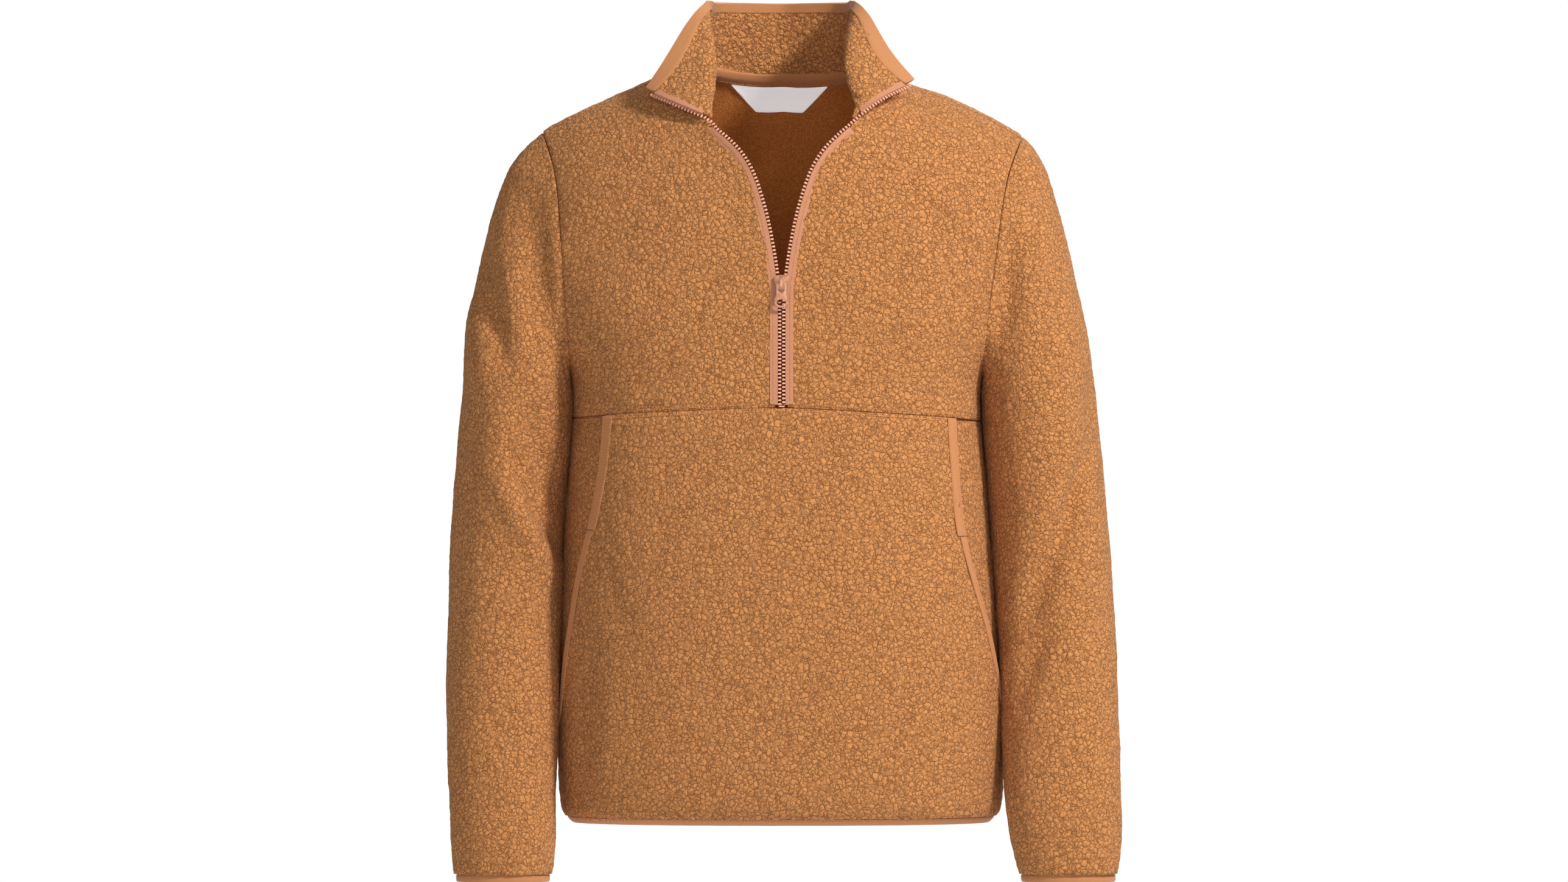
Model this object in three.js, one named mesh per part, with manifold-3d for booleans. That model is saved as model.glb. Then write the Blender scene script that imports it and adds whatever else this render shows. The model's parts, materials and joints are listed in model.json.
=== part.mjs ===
// A half-zip pullover in sherpa fleece, in the hollow shape that it has when it is worn.
// Millimetres, +Z up. The front faces -Y, and the wearer's left is at +X.
// The origin is in the middle of the neck, at the height of the back neck seam.
import * as THREE from "three";
import { mergeVertices } from "three/addons/utils/BufferGeometryUtils.js";
import Module from "manifold-3d";

const wasm = await Module();
wasm.setup();

const SIDES = { right: -1, left: 1 };
const DEGREE = Math.PI / 180;
const QUARTER = Math.PI / 2;
const { lerp: mix, smoothstep, clamp } = THREE.MathUtils;
const vec = (x, y, z) => new THREE.Vector3(x, y, z);
const FRONT_OUT = vec(0, -1, 0.1);
const BACK_OUT = vec(0, 1, 0);

// Cloth and seams
const FLEECE = 3; // thickness of the knit backing with its pressed pile
const TAPE = 1; // thickness of the twill tapes and bindings
const SEAM = 0.5; // gap between two sewn panels
const LAID_ON = 0.35; // gap between a panel and what lies on it

// Body, as level sections. half is half the width, shift moves the section sideways, front and back are
// the depths in the middle, and square is the exponent of the section's outline.
const BODY = [
  { z: -662, half: 186, shift: -0.7, front: 108, back: 98, square: 2.5 },
  { z: -656, half: 191, shift: -0.7, front: 114, back: 103, square: 2.5 },
  { z: -645, half: 195.5, shift: -0.7, front: 120, back: 108, square: 2.5 },
  { z: -600, half: 197, shift: -0.7, front: 123, back: 109, square: 2.5 },
  { z: -530, half: 196, shift: -1.5, front: 124, back: 108, square: 2.5 },
  { z: -461, half: 192.5, shift: -2.5, front: 125, back: 106, square: 2.5 },
  { z: -385, half: 187.5, shift: -3.5, front: 124, back: 105, square: 2.5 },
  { z: -340, half: 184, shift: -4, front: 122, back: 106, square: 2.5 },
  { z: -300, half: 180.5, shift: -4.5, front: 120, back: 108, square: 2.5 },
  { z: -265, half: 183, shift: -4.5, front: 118, back: 111, square: 2.5 },
  { z: -238, half: 199, shift: -4.3, front: 117, back: 113, square: 2.4 },
  { z: -205, half: 214, shift: -3.7, front: 115.5, back: 115, square: 2.3 },
  { z: -176, half: 223, shift: -2.8, front: 114, back: 115, square: 2.2 },
  { z: -108, half: 231, shift: -0.5, front: 106, back: 112, square: 2.2 },
  { z: -54, half: 234, shift: 1.5, front: 97, back: 102, square: 2.2 },
  { z: 30, half: 234, shift: 1.5, front: 92, back: 97, square: 2.2 },
];
const HEM = -655.3;
const HEM_BINDING = { to: -661.3, inset: 1.4, thick: 4.6 };

// Shoulders. The ridge's height at a distance from the middle, and how the body rounds down from it.
const RIDGE = [
  { x: 0, z: 28 },
  { x: 43, z: 23 },
  { x: 84, z: 11 },
  { x: 114, z: -2 },
  { x: 151, z: -19.5 },
  { x: 182, z: -34 },
  { x: 216, z: -53 },
  { x: 260, z: -80 },
];
const RIDGE_HALF = 234;
const RIDGE_SQUARE = 2.2;
const RIDGE_TILT = 0.012; // the wearer's left shoulder hangs this much lower, as a slope
const ARCH = 100; // height over which the body rounds from the ridge to upright
const SHOULDER_SEAM = -25; // drop of the seam, in front of the ridge

// Armhole: its distance from the middle at a height
const ARMHOLE_BOTTOM = -265;
const ARMHOLE = [
  { z: -265, x: 183 },
  { z: -245, x: 183.5 },
  { z: -176, x: 190 },
  { z: -93, x: 199 },
  { z: -49, x: 213 },
  { z: -30, x: 219 },
];

// Waist seam between the chest panels and the pocket. It is lower at the sides.
const WAIST = { middle: -294.5, dropRight: 8.5, dropLeft: 11.5 };

// Zip. The line is the middle of one row of teeth, from the waist seam to the neck seam.
const ZIP_LINE = [
  { z: -310, x: 1.85 },
  { z: -197, x: 1.85 },
  { z: -189, x: 2.1 },
  { z: -183, x: 3 },
  { z: -177, x: 3.7 },
  { z: -160, x: 6.2 },
  { z: -130, x: 12 },
  { z: -105, x: 19 },
  { z: -83, x: 27.8 },
  { z: -65.7, x: 40 },
  { z: -45.5, x: 62 },
];
const NECK_FRONT = { x: 62, z: -45.5 };
const TEETH = { bottom: -292.4, width: 3.1, thick: 2.6, out: 0.3 };
const ZIP_TAPE = { from: 2.1, to: 11.6, clearOfNeck: 9 };
const PANEL_FROM_ZIP = 3.2;
const PLACKET_ROLL = { height: 6, width: 14, from: -150 }; // the open edges roll forward

// Neckline: the angle across at the side of the neck, and the drop of the back neck seam
const NECK_SIDE = 20.7 * DEGREE;
const NECK_BACK = ARCH * 43 * DEGREE;

// Collar, from the zip at 0 over the side to the middle of the back at 1: a point halfway up, and the top.
const COLLAR = [
  { at: 0, midX: 88, midY: -82, midZ: -25.5, topX: 116.3, topY: -58, topZ: -9.2 },
  { at: 0.12, midX: 63, midY: -70, midZ: -3, topX: 100, topY: -53, topZ: 16 },
  { at: 0.25, midX: 60.5, midY: -52, midZ: 23, topX: 84, topY: -40, topZ: 42 },
  { at: 0.38, midX: 64, midY: -31, midZ: 36, topX: 72, topY: -26, topZ: 58 },
  { at: 0.5, midX: 70, midY: -7, midZ: 40, topX: 65.5, topY: -8, topZ: 65.5 },
  { at: 0.65, midX: 71, midY: 23, midZ: 38, topX: 63, topY: 19, topZ: 66 },
  { at: 0.8, midX: 54, midY: 48, midZ: 35, topX: 50, topY: 43, topZ: 66 },
  { at: 1, midX: 0, midY: 65, midZ: 34, topX: 0, topY: 60, topZ: 65.5 },
];
const WING_TILT = 5; // the wearer's left wing stands this much higher than the middle, the right one lower
const COLLAR_FOOT = 0.022; // where the collar starts above the seam, as a share of its height
const COLLAR_TAPE = { deep: 7, clear: 0.06 }; // clear is its distance from the binding, in rows
const COLLAR_BINDING = 7.5;
// off is the tape's gap from the cloth, and over the one at the seam's ridge
const NECK_TAPE = { above: 4, below: 7.6, half: 64, clear: 2.5, off: 0.5, over: 0.9 };
const LABEL = { top: 87, bottom: 42, height: 22, x: -2, thick: 0.8 };

// Pocket edge: the angle across the body in degrees, where 90 is the side seam
const POCKET_EDGE = [
  { z: -592, right: 90, left: 90 },
  { z: -575, right: 81, left: 84.5 },
  { z: -551, right: 73.3, left: 77.5 },
  { z: -524, right: 69.3, left: 70 },
  { z: -486, right: 64.7, left: 64 },
  { z: -446, right: 61, left: 58 },
  { z: -404, right: 56.6, left: 54.6 },
  { z: -350, right: 52.8, left: 54.2 },
  { z: -300, right: 52.2, left: 55.2 },
];
const POCKET_CAP = 87.8 * DEGREE; // the layer under the pocket keeps a strip beyond this angle
const POCKET_UNDER = 0.8; // gap between the pocket and the layer under it
const POCKET_PUFF = 4.5; // how far the pocket stands off in its middle
const POCKET_OPEN = { z: -480, half: 70, height: 2.4 }; // how far the hand opening stands off
const POCKET_TAPE = { right: -402, left: -408, width: 11 }; // from this height up to the waist seam
const POCKET_BINDING = { bottom: -578, width: 8 };

// Sleeves, as level sections: distances of the outer and inner sides from the middle, and the depths.
const SLEEVE = {
  right: [
    { z: -705, outer: 288.5, inner: 206, front: -92, back: -22 },
    { z: -696, outer: 291, inner: 203, front: -96, back: -17 },
    { z: -670, outer: 292, inner: 202, front: -94, back: -8 },
    { z: -629, outer: 294, inner: 201, front: -89, back: 4 },
    { z: -570, outer: 296, inner: 200, front: -82, back: 20 },
    { z: -508, outer: 296, inner: 199.5, front: -75, back: 36 },
    { z: -432, outer: 293.5, inner: 197, front: -68, back: 56 },
    { z: -357, outer: 287, inner: 192, front: -67, back: 68 },
    { z: -292, outer: 279.5, inner: 187.5, front: -68, back: 74 },
  ],
  left: [
    { z: -705, outer: 296, inner: 213, front: -92, back: -22 },
    { z: -696, outer: 300, inner: 209.5, front: -96, back: -17 },
    { z: -670, outer: 301, inner: 205, front: -94, back: -8 },
    { z: -629, outer: 300, inner: 200.5, front: -89, back: 4 },
    { z: -570, outer: 297.5, inner: 199, front: -82, back: 20 },
    { z: -508, outer: 294, inner: 196.5, front: -75, back: 36 },
    { z: -432, outer: 288, inner: 192, front: -68, back: 56 },
    { z: -357, outer: 281.3, inner: 186, front: -67, back: 68 },
    { z: -292, outer: 274.5, inner: 182, front: -68, back: 74 },
  ],
};
const SLEEVE_TOP = -292; // where the cap ends and the level sections begin
const SLEEVE_END = -705;
const SLEEVE_SQUARE = 2.15;
const CAP = { leave: 0.14, arrive: 0.34, slope: 0.7 };
const CUFF_BINDING = { from: -705.5, to: -712, inset: 1.2, thick: 4.6 };

// Folds, as lines in the front view. lift is out of the cloth and below zero into it, and wide is the
// half width of the fold.
const FOLDS = {
  body: [
    { face: "front", x0: -171, z0: -508, x1: -175, z1: -644, wide: 12, lift: -3.8 },
    { face: "front", x0: -151, z0: -541, x1: -155, z1: -638, wide: 13, lift: 2.7 },
    { face: "front", x0: 128, z0: -348, x1: 84, z1: -435, wide: 14, lift: -2.4 },
    { face: "front", x0: 149, z0: -381, x1: 112, z1: -467, wide: 14, lift: -1.9 },
    { face: "front", x0: -108, z0: -104, x1: -173, z1: -154, wide: 18, lift: -2.8 },
    { face: "front", x0: 104, z0: -99, x1: 164, z1: -162, wide: 19, lift: -2.2 },
    { face: "back", x0: -130, z0: -162, x1: -65, z1: -270, wide: 19, lift: -3.7 },
    { face: "back", x0: 136, z0: -173, x1: 76, z1: -283, wide: 19, lift: -3.7 },
    { face: "back", x0: -76, z0: -357, x1: -91, z1: -562, wide: 22, lift: -4.3 },
    { face: "back", x0: 67, z0: -378, x1: 84, z1: -605, wide: 22, lift: -4.3 },
    { face: "back", x0: 162, z0: -508, x1: 166, z1: -644, wide: 13, lift: -3.2 },
  ],
  right: [
    { face: "front", x0: -259, z0: -324, x1: -244, z1: -283, wide: 17, lift: 2.7 },
    { face: "front", x0: -244, z0: -368, x1: -201, z1: -445, wide: 16, lift: 7.6 },
    { face: "front", x0: -225, z0: -324, x1: -190, z1: -402, wide: 16, lift: -9.7 },
    { face: "front", x0: -254, z0: -162, x1: -240, z1: -259, wide: 12, lift: -5.4 },
    { face: "front", x0: -266, z0: -162, x1: -259, z1: -281, wide: 11, lift: 3.2 },
    { face: "front", x0: -216, z0: -119, x1: -212, z1: -238, wide: 13, lift: -5.4 },
    { face: "back", x0: -270, z0: -400, x1: -212, z1: -443, wide: 15, lift: -6.5 },
    { face: "back", x0: -268, z0: -357, x1: -205, z1: -389, wide: 15, lift: 4.3 },
    { face: "back", x0: -251, z0: -486, x1: -222, z1: -584, wide: 15, lift: -4.3 },
  ],
  left: [
    { face: "front", x0: 271, z0: -276, x1: 270, z1: -324, wide: 12, lift: -6.5 },
    { face: "front", x0: 270, z0: -324, x1: 244, z1: -416, wide: 13, lift: -8.6 },
    { face: "front", x0: 244, z0: -416, x1: 212, z1: -476, wide: 15, lift: -7.6 },
    { face: "front", x0: 236, z0: -482, x1: 210, z1: -551, wide: 14, lift: -5.4 },
    { face: "front", x0: 222, z0: -357, x1: 205, z1: -432, wide: 17, lift: 5.4 },
    { face: "front", x0: 203, z0: -130, x1: 192, z1: -244, wide: 12, lift: -4.3 },
    { face: "back", x0: 270, z0: -381, x1: 212, z1: -428, wide: 15, lift: -6.5 },
    { face: "back", x0: 266, z0: -344, x1: 205, z1: -368, wide: 15, lift: 4.3 },
    { face: "back", x0: 255, z0: -486, x1: 227, z1: -584, wide: 15, lift: -4.3 },
  ],
};

// Slider and pull tab
const SLIDER = { top: -178.6, bottom: -193.6, wide: 12.9, narrow: 10, plate: 2, front: 2, back: 3.5 };
const POST = { half: 0.9, from: -183, to: -179.6 };
const CROWN = { width: 4.1, from: -179.8, to: -192.4, height: 3.8, wall: 1.1 };
const PIVOT = { z: -186.2, out: 1.4 };
const PULL = { length: 21.4, arm: 9.3, foot: 13.1, thick: 1.3, slot: 4.8, slotEnd: 7.9 };
const PULL_EYE = { wide: 8.8, high: 5.7, up: 4.6 };

// The value of a table's column between its rows, on a smooth curve through them.
function column(rows, key, name, at) {
  const last = rows.length - 1;
  if (at <= rows[0][key]) return rows[0][name];
  if (at >= rows[last][key]) return rows[last][name];
  let i = 0;
  while (rows[i + 1][key] < at) i++;
  const slope = (j) => {
    const a = rows[Math.max(j - 1, 0)];
    const b = rows[Math.min(j + 1, last)];
    return (b[name] - a[name]) / (b[key] - a[key]);
  };
  const width = rows[i + 1][key] - rows[i][key];
  const t = (at - rows[i][key]) / width;
  const t2 = t * t;
  const t3 = t2 * t;
  return (
    (2 * t3 - 3 * t2 + 1) * rows[i][name] +
    (t3 - 2 * t2 + t) * width * slope(i) +
    (3 * t2 - 2 * t3) * rows[i + 1][name] +
    (t3 - t2) * width * slope(i + 1)
  );
}

// How far the folds of a table push the cloth out at a place in the front view.
function foldLift(folds, face, x, z) {
  let lift = 0;
  for (const f of folds) {
    if (f.face !== face) continue;
    const dx = f.x1 - f.x0;
    const dz = f.z1 - f.z0;
    const along = ((x - f.x0) * dx + (z - f.z0) * dz) / (dx * dx + dz * dz);
    const near = clamp(along, 0, 1);
    const away = Math.hypot(x - f.x0 - near * dx, z - f.z0 - near * dz) / f.wide;
    const taper = 0.45 + 0.55 * Math.sin(Math.PI * near);
    lift += f.lift * taper * Math.exp(-away * away);
  }
  return lift;
}

// The zip line's distance from the middle at a height on the body.
const zipX = (z) => column(ZIP_LINE, "z", "x", z);

// A place at a distance from the zip line, square to it in the front view.
function besideZip(z, distance) {
  const slope = zipX(z + 0.5) - zipX(z - 0.5);
  const length = Math.hypot(1, slope);
  return { x: zipX(z) + distance / length, z: z - (distance * slope) / length };
}

// How far the open zip edge's roll lifts the cloth at a place in the front view.
function placketRoll(x, z) {
  if (z < PLACKET_ROLL.from) return 0;
  let away = Infinity;
  let height = z;
  for (let at = PLACKET_ROLL.from; at <= NECK_FRONT.z; at += 2.5) {
    const d = Math.hypot(Math.abs(x) - zipX(at), z - at);
    if (d < away) {
      away = d;
      height = at;
    }
  }
  const rise = smoothstep(height, PLACKET_ROLL.from, NECK_FRONT.z);
  return PLACKET_ROLL.height * rise * Math.exp(-((away / PLACKET_ROLL.width) ** 2));
}

// A rounded-square outline of unit size: how far sideways and how far out it reaches at an angle across.
function outlineAt(omega, square) {
  const s = Math.abs(Math.sin(omega));
  const c = Math.abs(Math.cos(omega));
  const size = (s ** square + c ** square) ** (1 / square);
  return { side: (Math.sign(omega) * s) / size, out: c / size };
}

// Height of the shoulder ridge at an angle across the body.
function ridgeAt(omega) {
  const x = RIDGE_HALF * outlineAt(omega, RIDGE_SQUARE).side;
  return column(RIDGE, "x", "z", Math.abs(x)) - RIDGE_TILT * x;
}

// The body's face in its own coordinates. omega is the angle across, from -90 degrees at the right side
// seam to 90 at the left one. drop is the way down from the ridge: below zero in front, above at the back.
function bodyAt(omega, drop, inset = 0) {
  const arc = Math.abs(drop) / ARCH;
  const fall = arc < QUARTER ? ARCH * (1 - Math.cos(arc)) : ARCH * (1 + arc - QUARTER);
  const arch = arc < QUARTER ? Math.sin(arc) : 1;
  const z = ridgeAt(omega) - fall;
  const face = drop < 0 ? "front" : "back";
  const section = outlineAt(omega, column(BODY, "z", "square", z));
  const x = column(BODY, "z", "shift", z) + (column(BODY, "z", "half", z) - inset) * section.side;
  const depth = (column(BODY, "z", face, z) - inset) * section.out * arch;
  const lift = foldLift(FOLDS.body, face, x, z) * Math.min(1, Math.cos(omega) * 2.2) * arch;
  const roll = face === "front" ? placketRoll(x, z) : 0;
  const out = depth + lift + roll;
  return vec(x, face === "front" ? -out : out, z + 0.25 * roll);
}

// The drop of a height at an angle across.
function dropAt(omega, z, face) {
  const down = Math.max(0, (ridgeAt(omega) - z) / ARCH);
  const drop = ARCH * (down < 1 ? Math.acos(1 - down) : QUARTER + down - 1);
  return face === "front" ? -drop : drop;
}

// The body's coordinates of a place in the front view.
function toBody(x, z, face) {
  const square = column(BODY, "z", "square", z);
  const side = clamp((x - column(BODY, "z", "shift", z)) / column(BODY, "z", "half", z), -1, 1);
  const out = (1 - Math.abs(side) ** square) ** (1 / square);
  const omega = Math.atan2(side, out);
  return { omega, drop: dropAt(omega, z, face) };
}

const bodyPoint = (place) => bodyAt(place.omega, place.drop);

// The body's outward normal, taken just inside the side seams.
function bodyNormal({ omega, drop }) {
  const step = 0.01;
  const at = clamp(omega, -QUARTER + step, QUARTER - step);
  const across = bodyAt(at + step, drop).sub(bodyAt(at - step, drop));
  const down = bodyAt(at, drop + 1).sub(bodyAt(at, drop - 1));
  return across.cross(down).normalize();
}

// The sampled points of a line, from a function of 0 to 1.
const traced = (f, steps = 60) => Array.from({ length: steps + 1 }, (_, i) => f(i / steps));

// Points at even distances along joined lines. Each line keeps its own corners and has its own count.
function evenly(lines, counts) {
  const spread = [];
  lines.forEach((line, k) => {
    const places = line.map(bodyPoint);
    const run = [0];
    for (let i = 1; i < places.length; i++) run.push(run[i - 1] + places[i].distanceTo(places[i - 1]));
    for (let n = k === 0 ? 0 : 1; n <= counts[k]; n++) {
      const want = (run[run.length - 1] * n) / counts[k];
      let i = 0;
      while (i < run.length - 2 && run[i + 1] < want) i++;
      const t = clamp((want - run[i]) / Math.max(run[i + 1] - run[i], 1e-9), 0, 1);
      spread.push({
        omega: mix(line[i].omega, line[i + 1].omega, t),
        drop: mix(line[i].drop, line[i + 1].drop, t),
      });
    }
  });
  return spread;
}

// A grid of places between four edges, filled in the body's coordinates.
function panelGrid(bottom, top, inner, outer) {
  const rows = inner.length - 1;
  const columns = bottom.length - 1;
  return inner.map((_, r) =>
    bottom.map((_, c) => {
      const v = r / rows;
      const u = c / columns;
      const blend = (name) =>
        (1 - u) * inner[r][name] +
        u * outer[r][name] +
        (1 - v) * (bottom[c][name] - mix(bottom[0][name], bottom[columns][name], u)) +
        v * (top[c][name] - mix(top[0][name], top[columns][name], u));
      return { omega: blend("omega"), drop: blend("drop") };
    }),
  );
}

// The step along a line of points at one of them, exact for a parabola at the line's ends.
function stepAt(line, i, round) {
  const n = line.length;
  if (round) return line[(i + 1) % n].clone().sub(line[(i + n - 1) % n]);
  if (n === 2) return line[1].clone().sub(line[0]);
  if (i > 0 && i < n - 1) return line[i + 1].clone().sub(line[i - 1]);
  const [a, b, c] = i === 0 ? line : [line[n - 1], line[n - 2], line[n - 3]];
  const step = b.clone().multiplyScalar(4).addScaledVector(a, -3).sub(c);
  return i === 0 ? step : step.negate();
}

// Unit normals of a grid. They agree with outward at the middle of the grid.
function gridNormals(grid, outward, round = false) {
  const lines = grid[0].map((_, c) => grid.map((row) => row[c]));
  const normals = grid.map((row, r) =>
    row.map((_, c) => stepAt(row, c, round).cross(stepAt(lines[c], r, false)).normalize()),
  );
  const middle = normals[Math.floor(grid.length / 2)][Math.floor(grid[0].length / 2)];
  const turned = middle.dot(outward) < 0;
  if (turned) normals.forEach((row) => row.forEach((n) => n.negate()));
  return { normals, turned };
}

// A grid moved out of its own face.
function raised(grid, height, outward, round = false) {
  const { normals } = gridNormals(grid, outward, round);
  return grid.map((row, r) => row.map((p, c) => p.clone().addScaledVector(normals[r][c], height)));
}

function geometryFrom(positions, index) {
  const geometry = new THREE.BufferGeometry();
  geometry.setAttribute("position", new THREE.Float32BufferAttribute(positions, 3));
  geometry.setIndex(index);
  geometry.computeVertexNormals();
  return geometry;
}

// A closed wall of cloth. The grid is its outer face, and its inner face lies behind it.
function wall(grid, thick, outward, round = false, given = null) {
  const found = gridNormals(grid, outward, round);
  const turned = found.turned;
  const normals = given ?? found.normals;
  const rows = grid.length;
  const columns = grid[0].length;
  const inside = grid.map((row, r) => row.map((p, c) => p.clone().addScaledVector(normals[r][c], -thick)));
  const positions = [...grid, ...inside].flat().flatMap((p) => [p.x, p.y, p.z]);
  const outer = (r, c) => r * columns + (c % columns);
  const inner = (r, c) => rows * columns + outer(r, c);
  const index = [];
  const quad = (a, b, c, d) => (turned ? index.push(a, c, b, a, d, c) : index.push(a, b, c, a, c, d));
  const cells = round ? columns : columns - 1;
  for (let r = 0; r < rows - 1; r++) {
    for (let c = 0; c < cells; c++) {
      quad(outer(r, c), outer(r, c + 1), outer(r + 1, c + 1), outer(r + 1, c));
      quad(inner(r, c), inner(r + 1, c), inner(r + 1, c + 1), inner(r, c + 1));
    }
    if (round) continue;
    const last = columns - 1;
    quad(outer(r, 0), outer(r + 1, 0), inner(r + 1, 0), inner(r, 0));
    quad(outer(r, last), inner(r, last), inner(r + 1, last), outer(r + 1, last));
  }
  for (let c = 0; c < cells; c++) {
    const last = rows - 1;
    quad(outer(0, c), inner(0, c), inner(0, c + 1), outer(0, c + 1));
    quad(outer(last, c), outer(last, c + 1), inner(last, c + 1), inner(last, c));
  }
  return geometryFrom(positions, index);
}

// A solid through sections of points. The flat shape of one section gives the triangles of the two ends,
// and turned lists the sides whose quads are cut along their other diagonal.
function loft(sections, shape, turned = []) {
  const n = shape.length;
  const outline = shape.map(([a, b]) => new THREE.Vector2(a, b));
  const caps = THREE.ShapeUtils.triangulateShape(outline, []);
  const area = caps.reduce((sum, f) => sum + THREE.ShapeUtils.area(f.map((i) => outline[i])), 0);
  const flip = area < 0 !== THREE.ShapeUtils.area(outline) < 0;
  const faces = [];
  for (let i = 0; i < sections.length - 1; i++) {
    for (let j = 0; j < n; j++) {
      const a = i * n + j;
      const b = i * n + ((j + 1) % n);
      if (turned.includes(j)) faces.push([a, b, a + n], [b, b + n, a + n]);
      else faces.push([a, b, b + n], [a, b + n, a + n]);
    }
  }
  const end = (sections.length - 1) * n;
  for (const [a, b, c] of caps) {
    const [p, q] = flip ? [c, b] : [b, c];
    faces.push([a, q, p], [end + a, end + p, end + q]);
  }
  const positions = sections.flat().flatMap((p) => p.toArray());
  const geometry = geometryFrom(positions, faces.flat());
  if (solidOf(geometry).volume() > 0) return geometry;
  return geometryFrom(positions, faces.flatMap(([a, b, c]) => [a, c, b]));
}

// Conversions for the hardware, which is joined from plain bodies.
function solidOf(geometry) {
  const bare = geometry.clone();
  bare.deleteAttribute("normal");
  bare.deleteAttribute("uv");
  const merged = mergeVertices(bare, 1e-4);
  return new wasm.Manifold(
    new wasm.Mesh({
      numProp: 3,
      vertProperties: merged.attributes.position.array,
      triVerts: new Uint32Array(merged.index.array),
    }),
  );
}

function geometryOf(solid) {
  const mesh = solid.getMesh();
  return geometryFrom(Array.from(mesh.vertProperties), Array.from(mesh.triVerts));
}

const FINISH = {
  fleece: { color: 0xc08048, roughness: 0.95, metalness: 0 },
  tape: { color: 0xc48652, roughness: 0.8, metalness: 0 },
  zipTape: { color: 0xc08560, roughness: 0.8, metalness: 0 },
  teeth: { color: 0xc9866a, roughness: 0.45, metalness: 0 },
  slider: { color: 0xbd8a5c, roughness: 0.35, metalness: 0.3 },
  label: { color: 0xe6e6ec, roughness: 0.6, metalness: 0 },
};

const parts = new THREE.Group();
parts.name = "sherpa_fleece_pullover";

// A panel of the body, whose walls take the body's own normals so that they meet at the seams.
function panelWall(places, outward) {
  const normals = places.map((row) => row.map(bodyNormal));
  return wall(places.map((row) => row.map(bodyPoint)), FLEECE, outward, false, normals);
}

function add(name, geometry, finish) {
  const mesh = new THREE.Mesh(geometry, new THREE.MeshStandardMaterial(FINISH[finish]));
  mesh.name = name;
  parts.add(mesh);
}

// Seams in the body's coordinates

function waistZ(omega) {
  const drop = omega > 0 ? WAIST.dropLeft : WAIST.dropRight;
  return WAIST.middle - drop * Math.abs(Math.sin(omega)) ** 1.25;
}

// The angle across of a panel's side edge, half a seam short of the side.
function sideAngle(z, face) {
  return QUARTER - SEAM / 2 / column(BODY, "z", face, z);
}

function sideEdge(side, face, from, to) {
  return traced((t) => {
    const z = mix(from, to, t);
    const omega = side * sideAngle(z, face);
    return { omega, drop: dropAt(omega, z, face) };
  });
}

const armholeX = (z, side) => column(BODY, "z", "shift", z) + side * column(ARMHOLE, "z", "x", z);

// The height at which the armhole crosses the shoulder ridge.
function armholeTop(side) {
  let z = -46;
  for (let i = 0; i < 30; i++) z = ridgeAt(toBody(armholeX(z, side), z, "front").omega);
  return z;
}

const ARMHOLE_TOP = { right: armholeTop(SIDES.right), left: armholeTop(SIDES.left) };

// A place on the armhole. turn is 0 at the shoulder, and a half turn at the armpit. The front comes first.
function armholePlace(side, turn, gap = 0) {
  const top = side < 0 ? ARMHOLE_TOP.right : ARMHOLE_TOP.left;
  const z = mix(ARMHOLE_BOTTOM, top, 0.5 + 0.5 * Math.cos(turn));
  return toBody(armholeX(z, side) - side * gap, z, Math.sin(turn) >= 0 ? "front" : "back");
}

// A panel's armhole edge from the armpit up to the shoulder seam.
function armholeEdge(side, face) {
  const sign = face === "front" ? 1 : -1;
  const gap = SEAM / 2;
  const rising = traced((t) => armholePlace(side, sign * Math.PI * (1 - t), gap), 90);
  const omega = armholePlace(side, 0, gap).omega;
  rising[0].omega = side * Math.min(Math.abs(rising[0].omega), sideAngle(ARMHOLE_BOTTOM, face));
  if (face === "back") return [...rising.slice(0, -1), { omega, drop: 0 }];
  return [...rising.filter((p) => p.drop < SHOULDER_SEAM - 2), { omega, drop: SHOULDER_SEAM - gap }];
}

const NECK_ZIP = toBody(NECK_FRONT.x, NECK_FRONT.z, "front");

// Half the neckline, from the zip at 0 over the side of the neck to the middle of the back at 1.
function neckline(side, at) {
  if (at < 0.5) {
    const share = 1 - at / 0.5;
    const omega = mix(NECK_SIDE, NECK_ZIP.omega, share * share);
    return { omega: side * omega, drop: NECK_ZIP.drop * share };
  }
  const turn = ((at - 0.5) / 0.5) * QUARTER;
  return { omega: side * NECK_SIDE * Math.cos(turn) ** 0.91, drop: NECK_BACK * Math.sin(turn) };
}

const NECK_AT_SHOULDER = 0.5 * (1 - SHOULDER_SEAM / NECK_ZIP.drop);

// Body panels

function chestPanel(side, name) {
  const gap = SEAM / 2;
  const zipEdge = traced((t) => {
    const p = besideZip(mix(WAIST.middle + gap, NECK_FRONT.z - 1.2, t), PANEL_FROM_ZIP);
    return toBody(side * p.x, p.z, "front");
  });
  const neckEdge = traced((t) => neckline(side, mix(0.035, NECK_AT_SHOULDER - 0.002, t)));
  neckEdge[0] = zipEdge[zipEdge.length - 1];
  const armpit = armholeEdge(side, "front");
  const waistSide = waistZ(side * QUARTER) + gap;
  const low = sideEdge(side, "front", waistSide, ARMHOLE_BOTTOM);
  const waist = traced((t) => {
    const omega = mix(zipEdge[0].omega, low[0].omega, t);
    return { omega, drop: dropAt(omega, waistZ(omega) + gap, "front") };
  });
  const shoulder = traced((t) => ({
    omega: mix(neckEdge[neckEdge.length - 1].omega, armpit[armpit.length - 1].omega, t),
    drop: SHOULDER_SEAM - gap,
  }));
  const grid = panelGrid(
    evenly([waist], [9]),
    evenly([shoulder], [9]),
    evenly([zipEdge, neckEdge], [13, 5]),
    evenly([low, armpit], [3, 15]),
  );
  add("chest_" + name, panelWall(grid, FRONT_OUT), "fleece");
}

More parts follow.
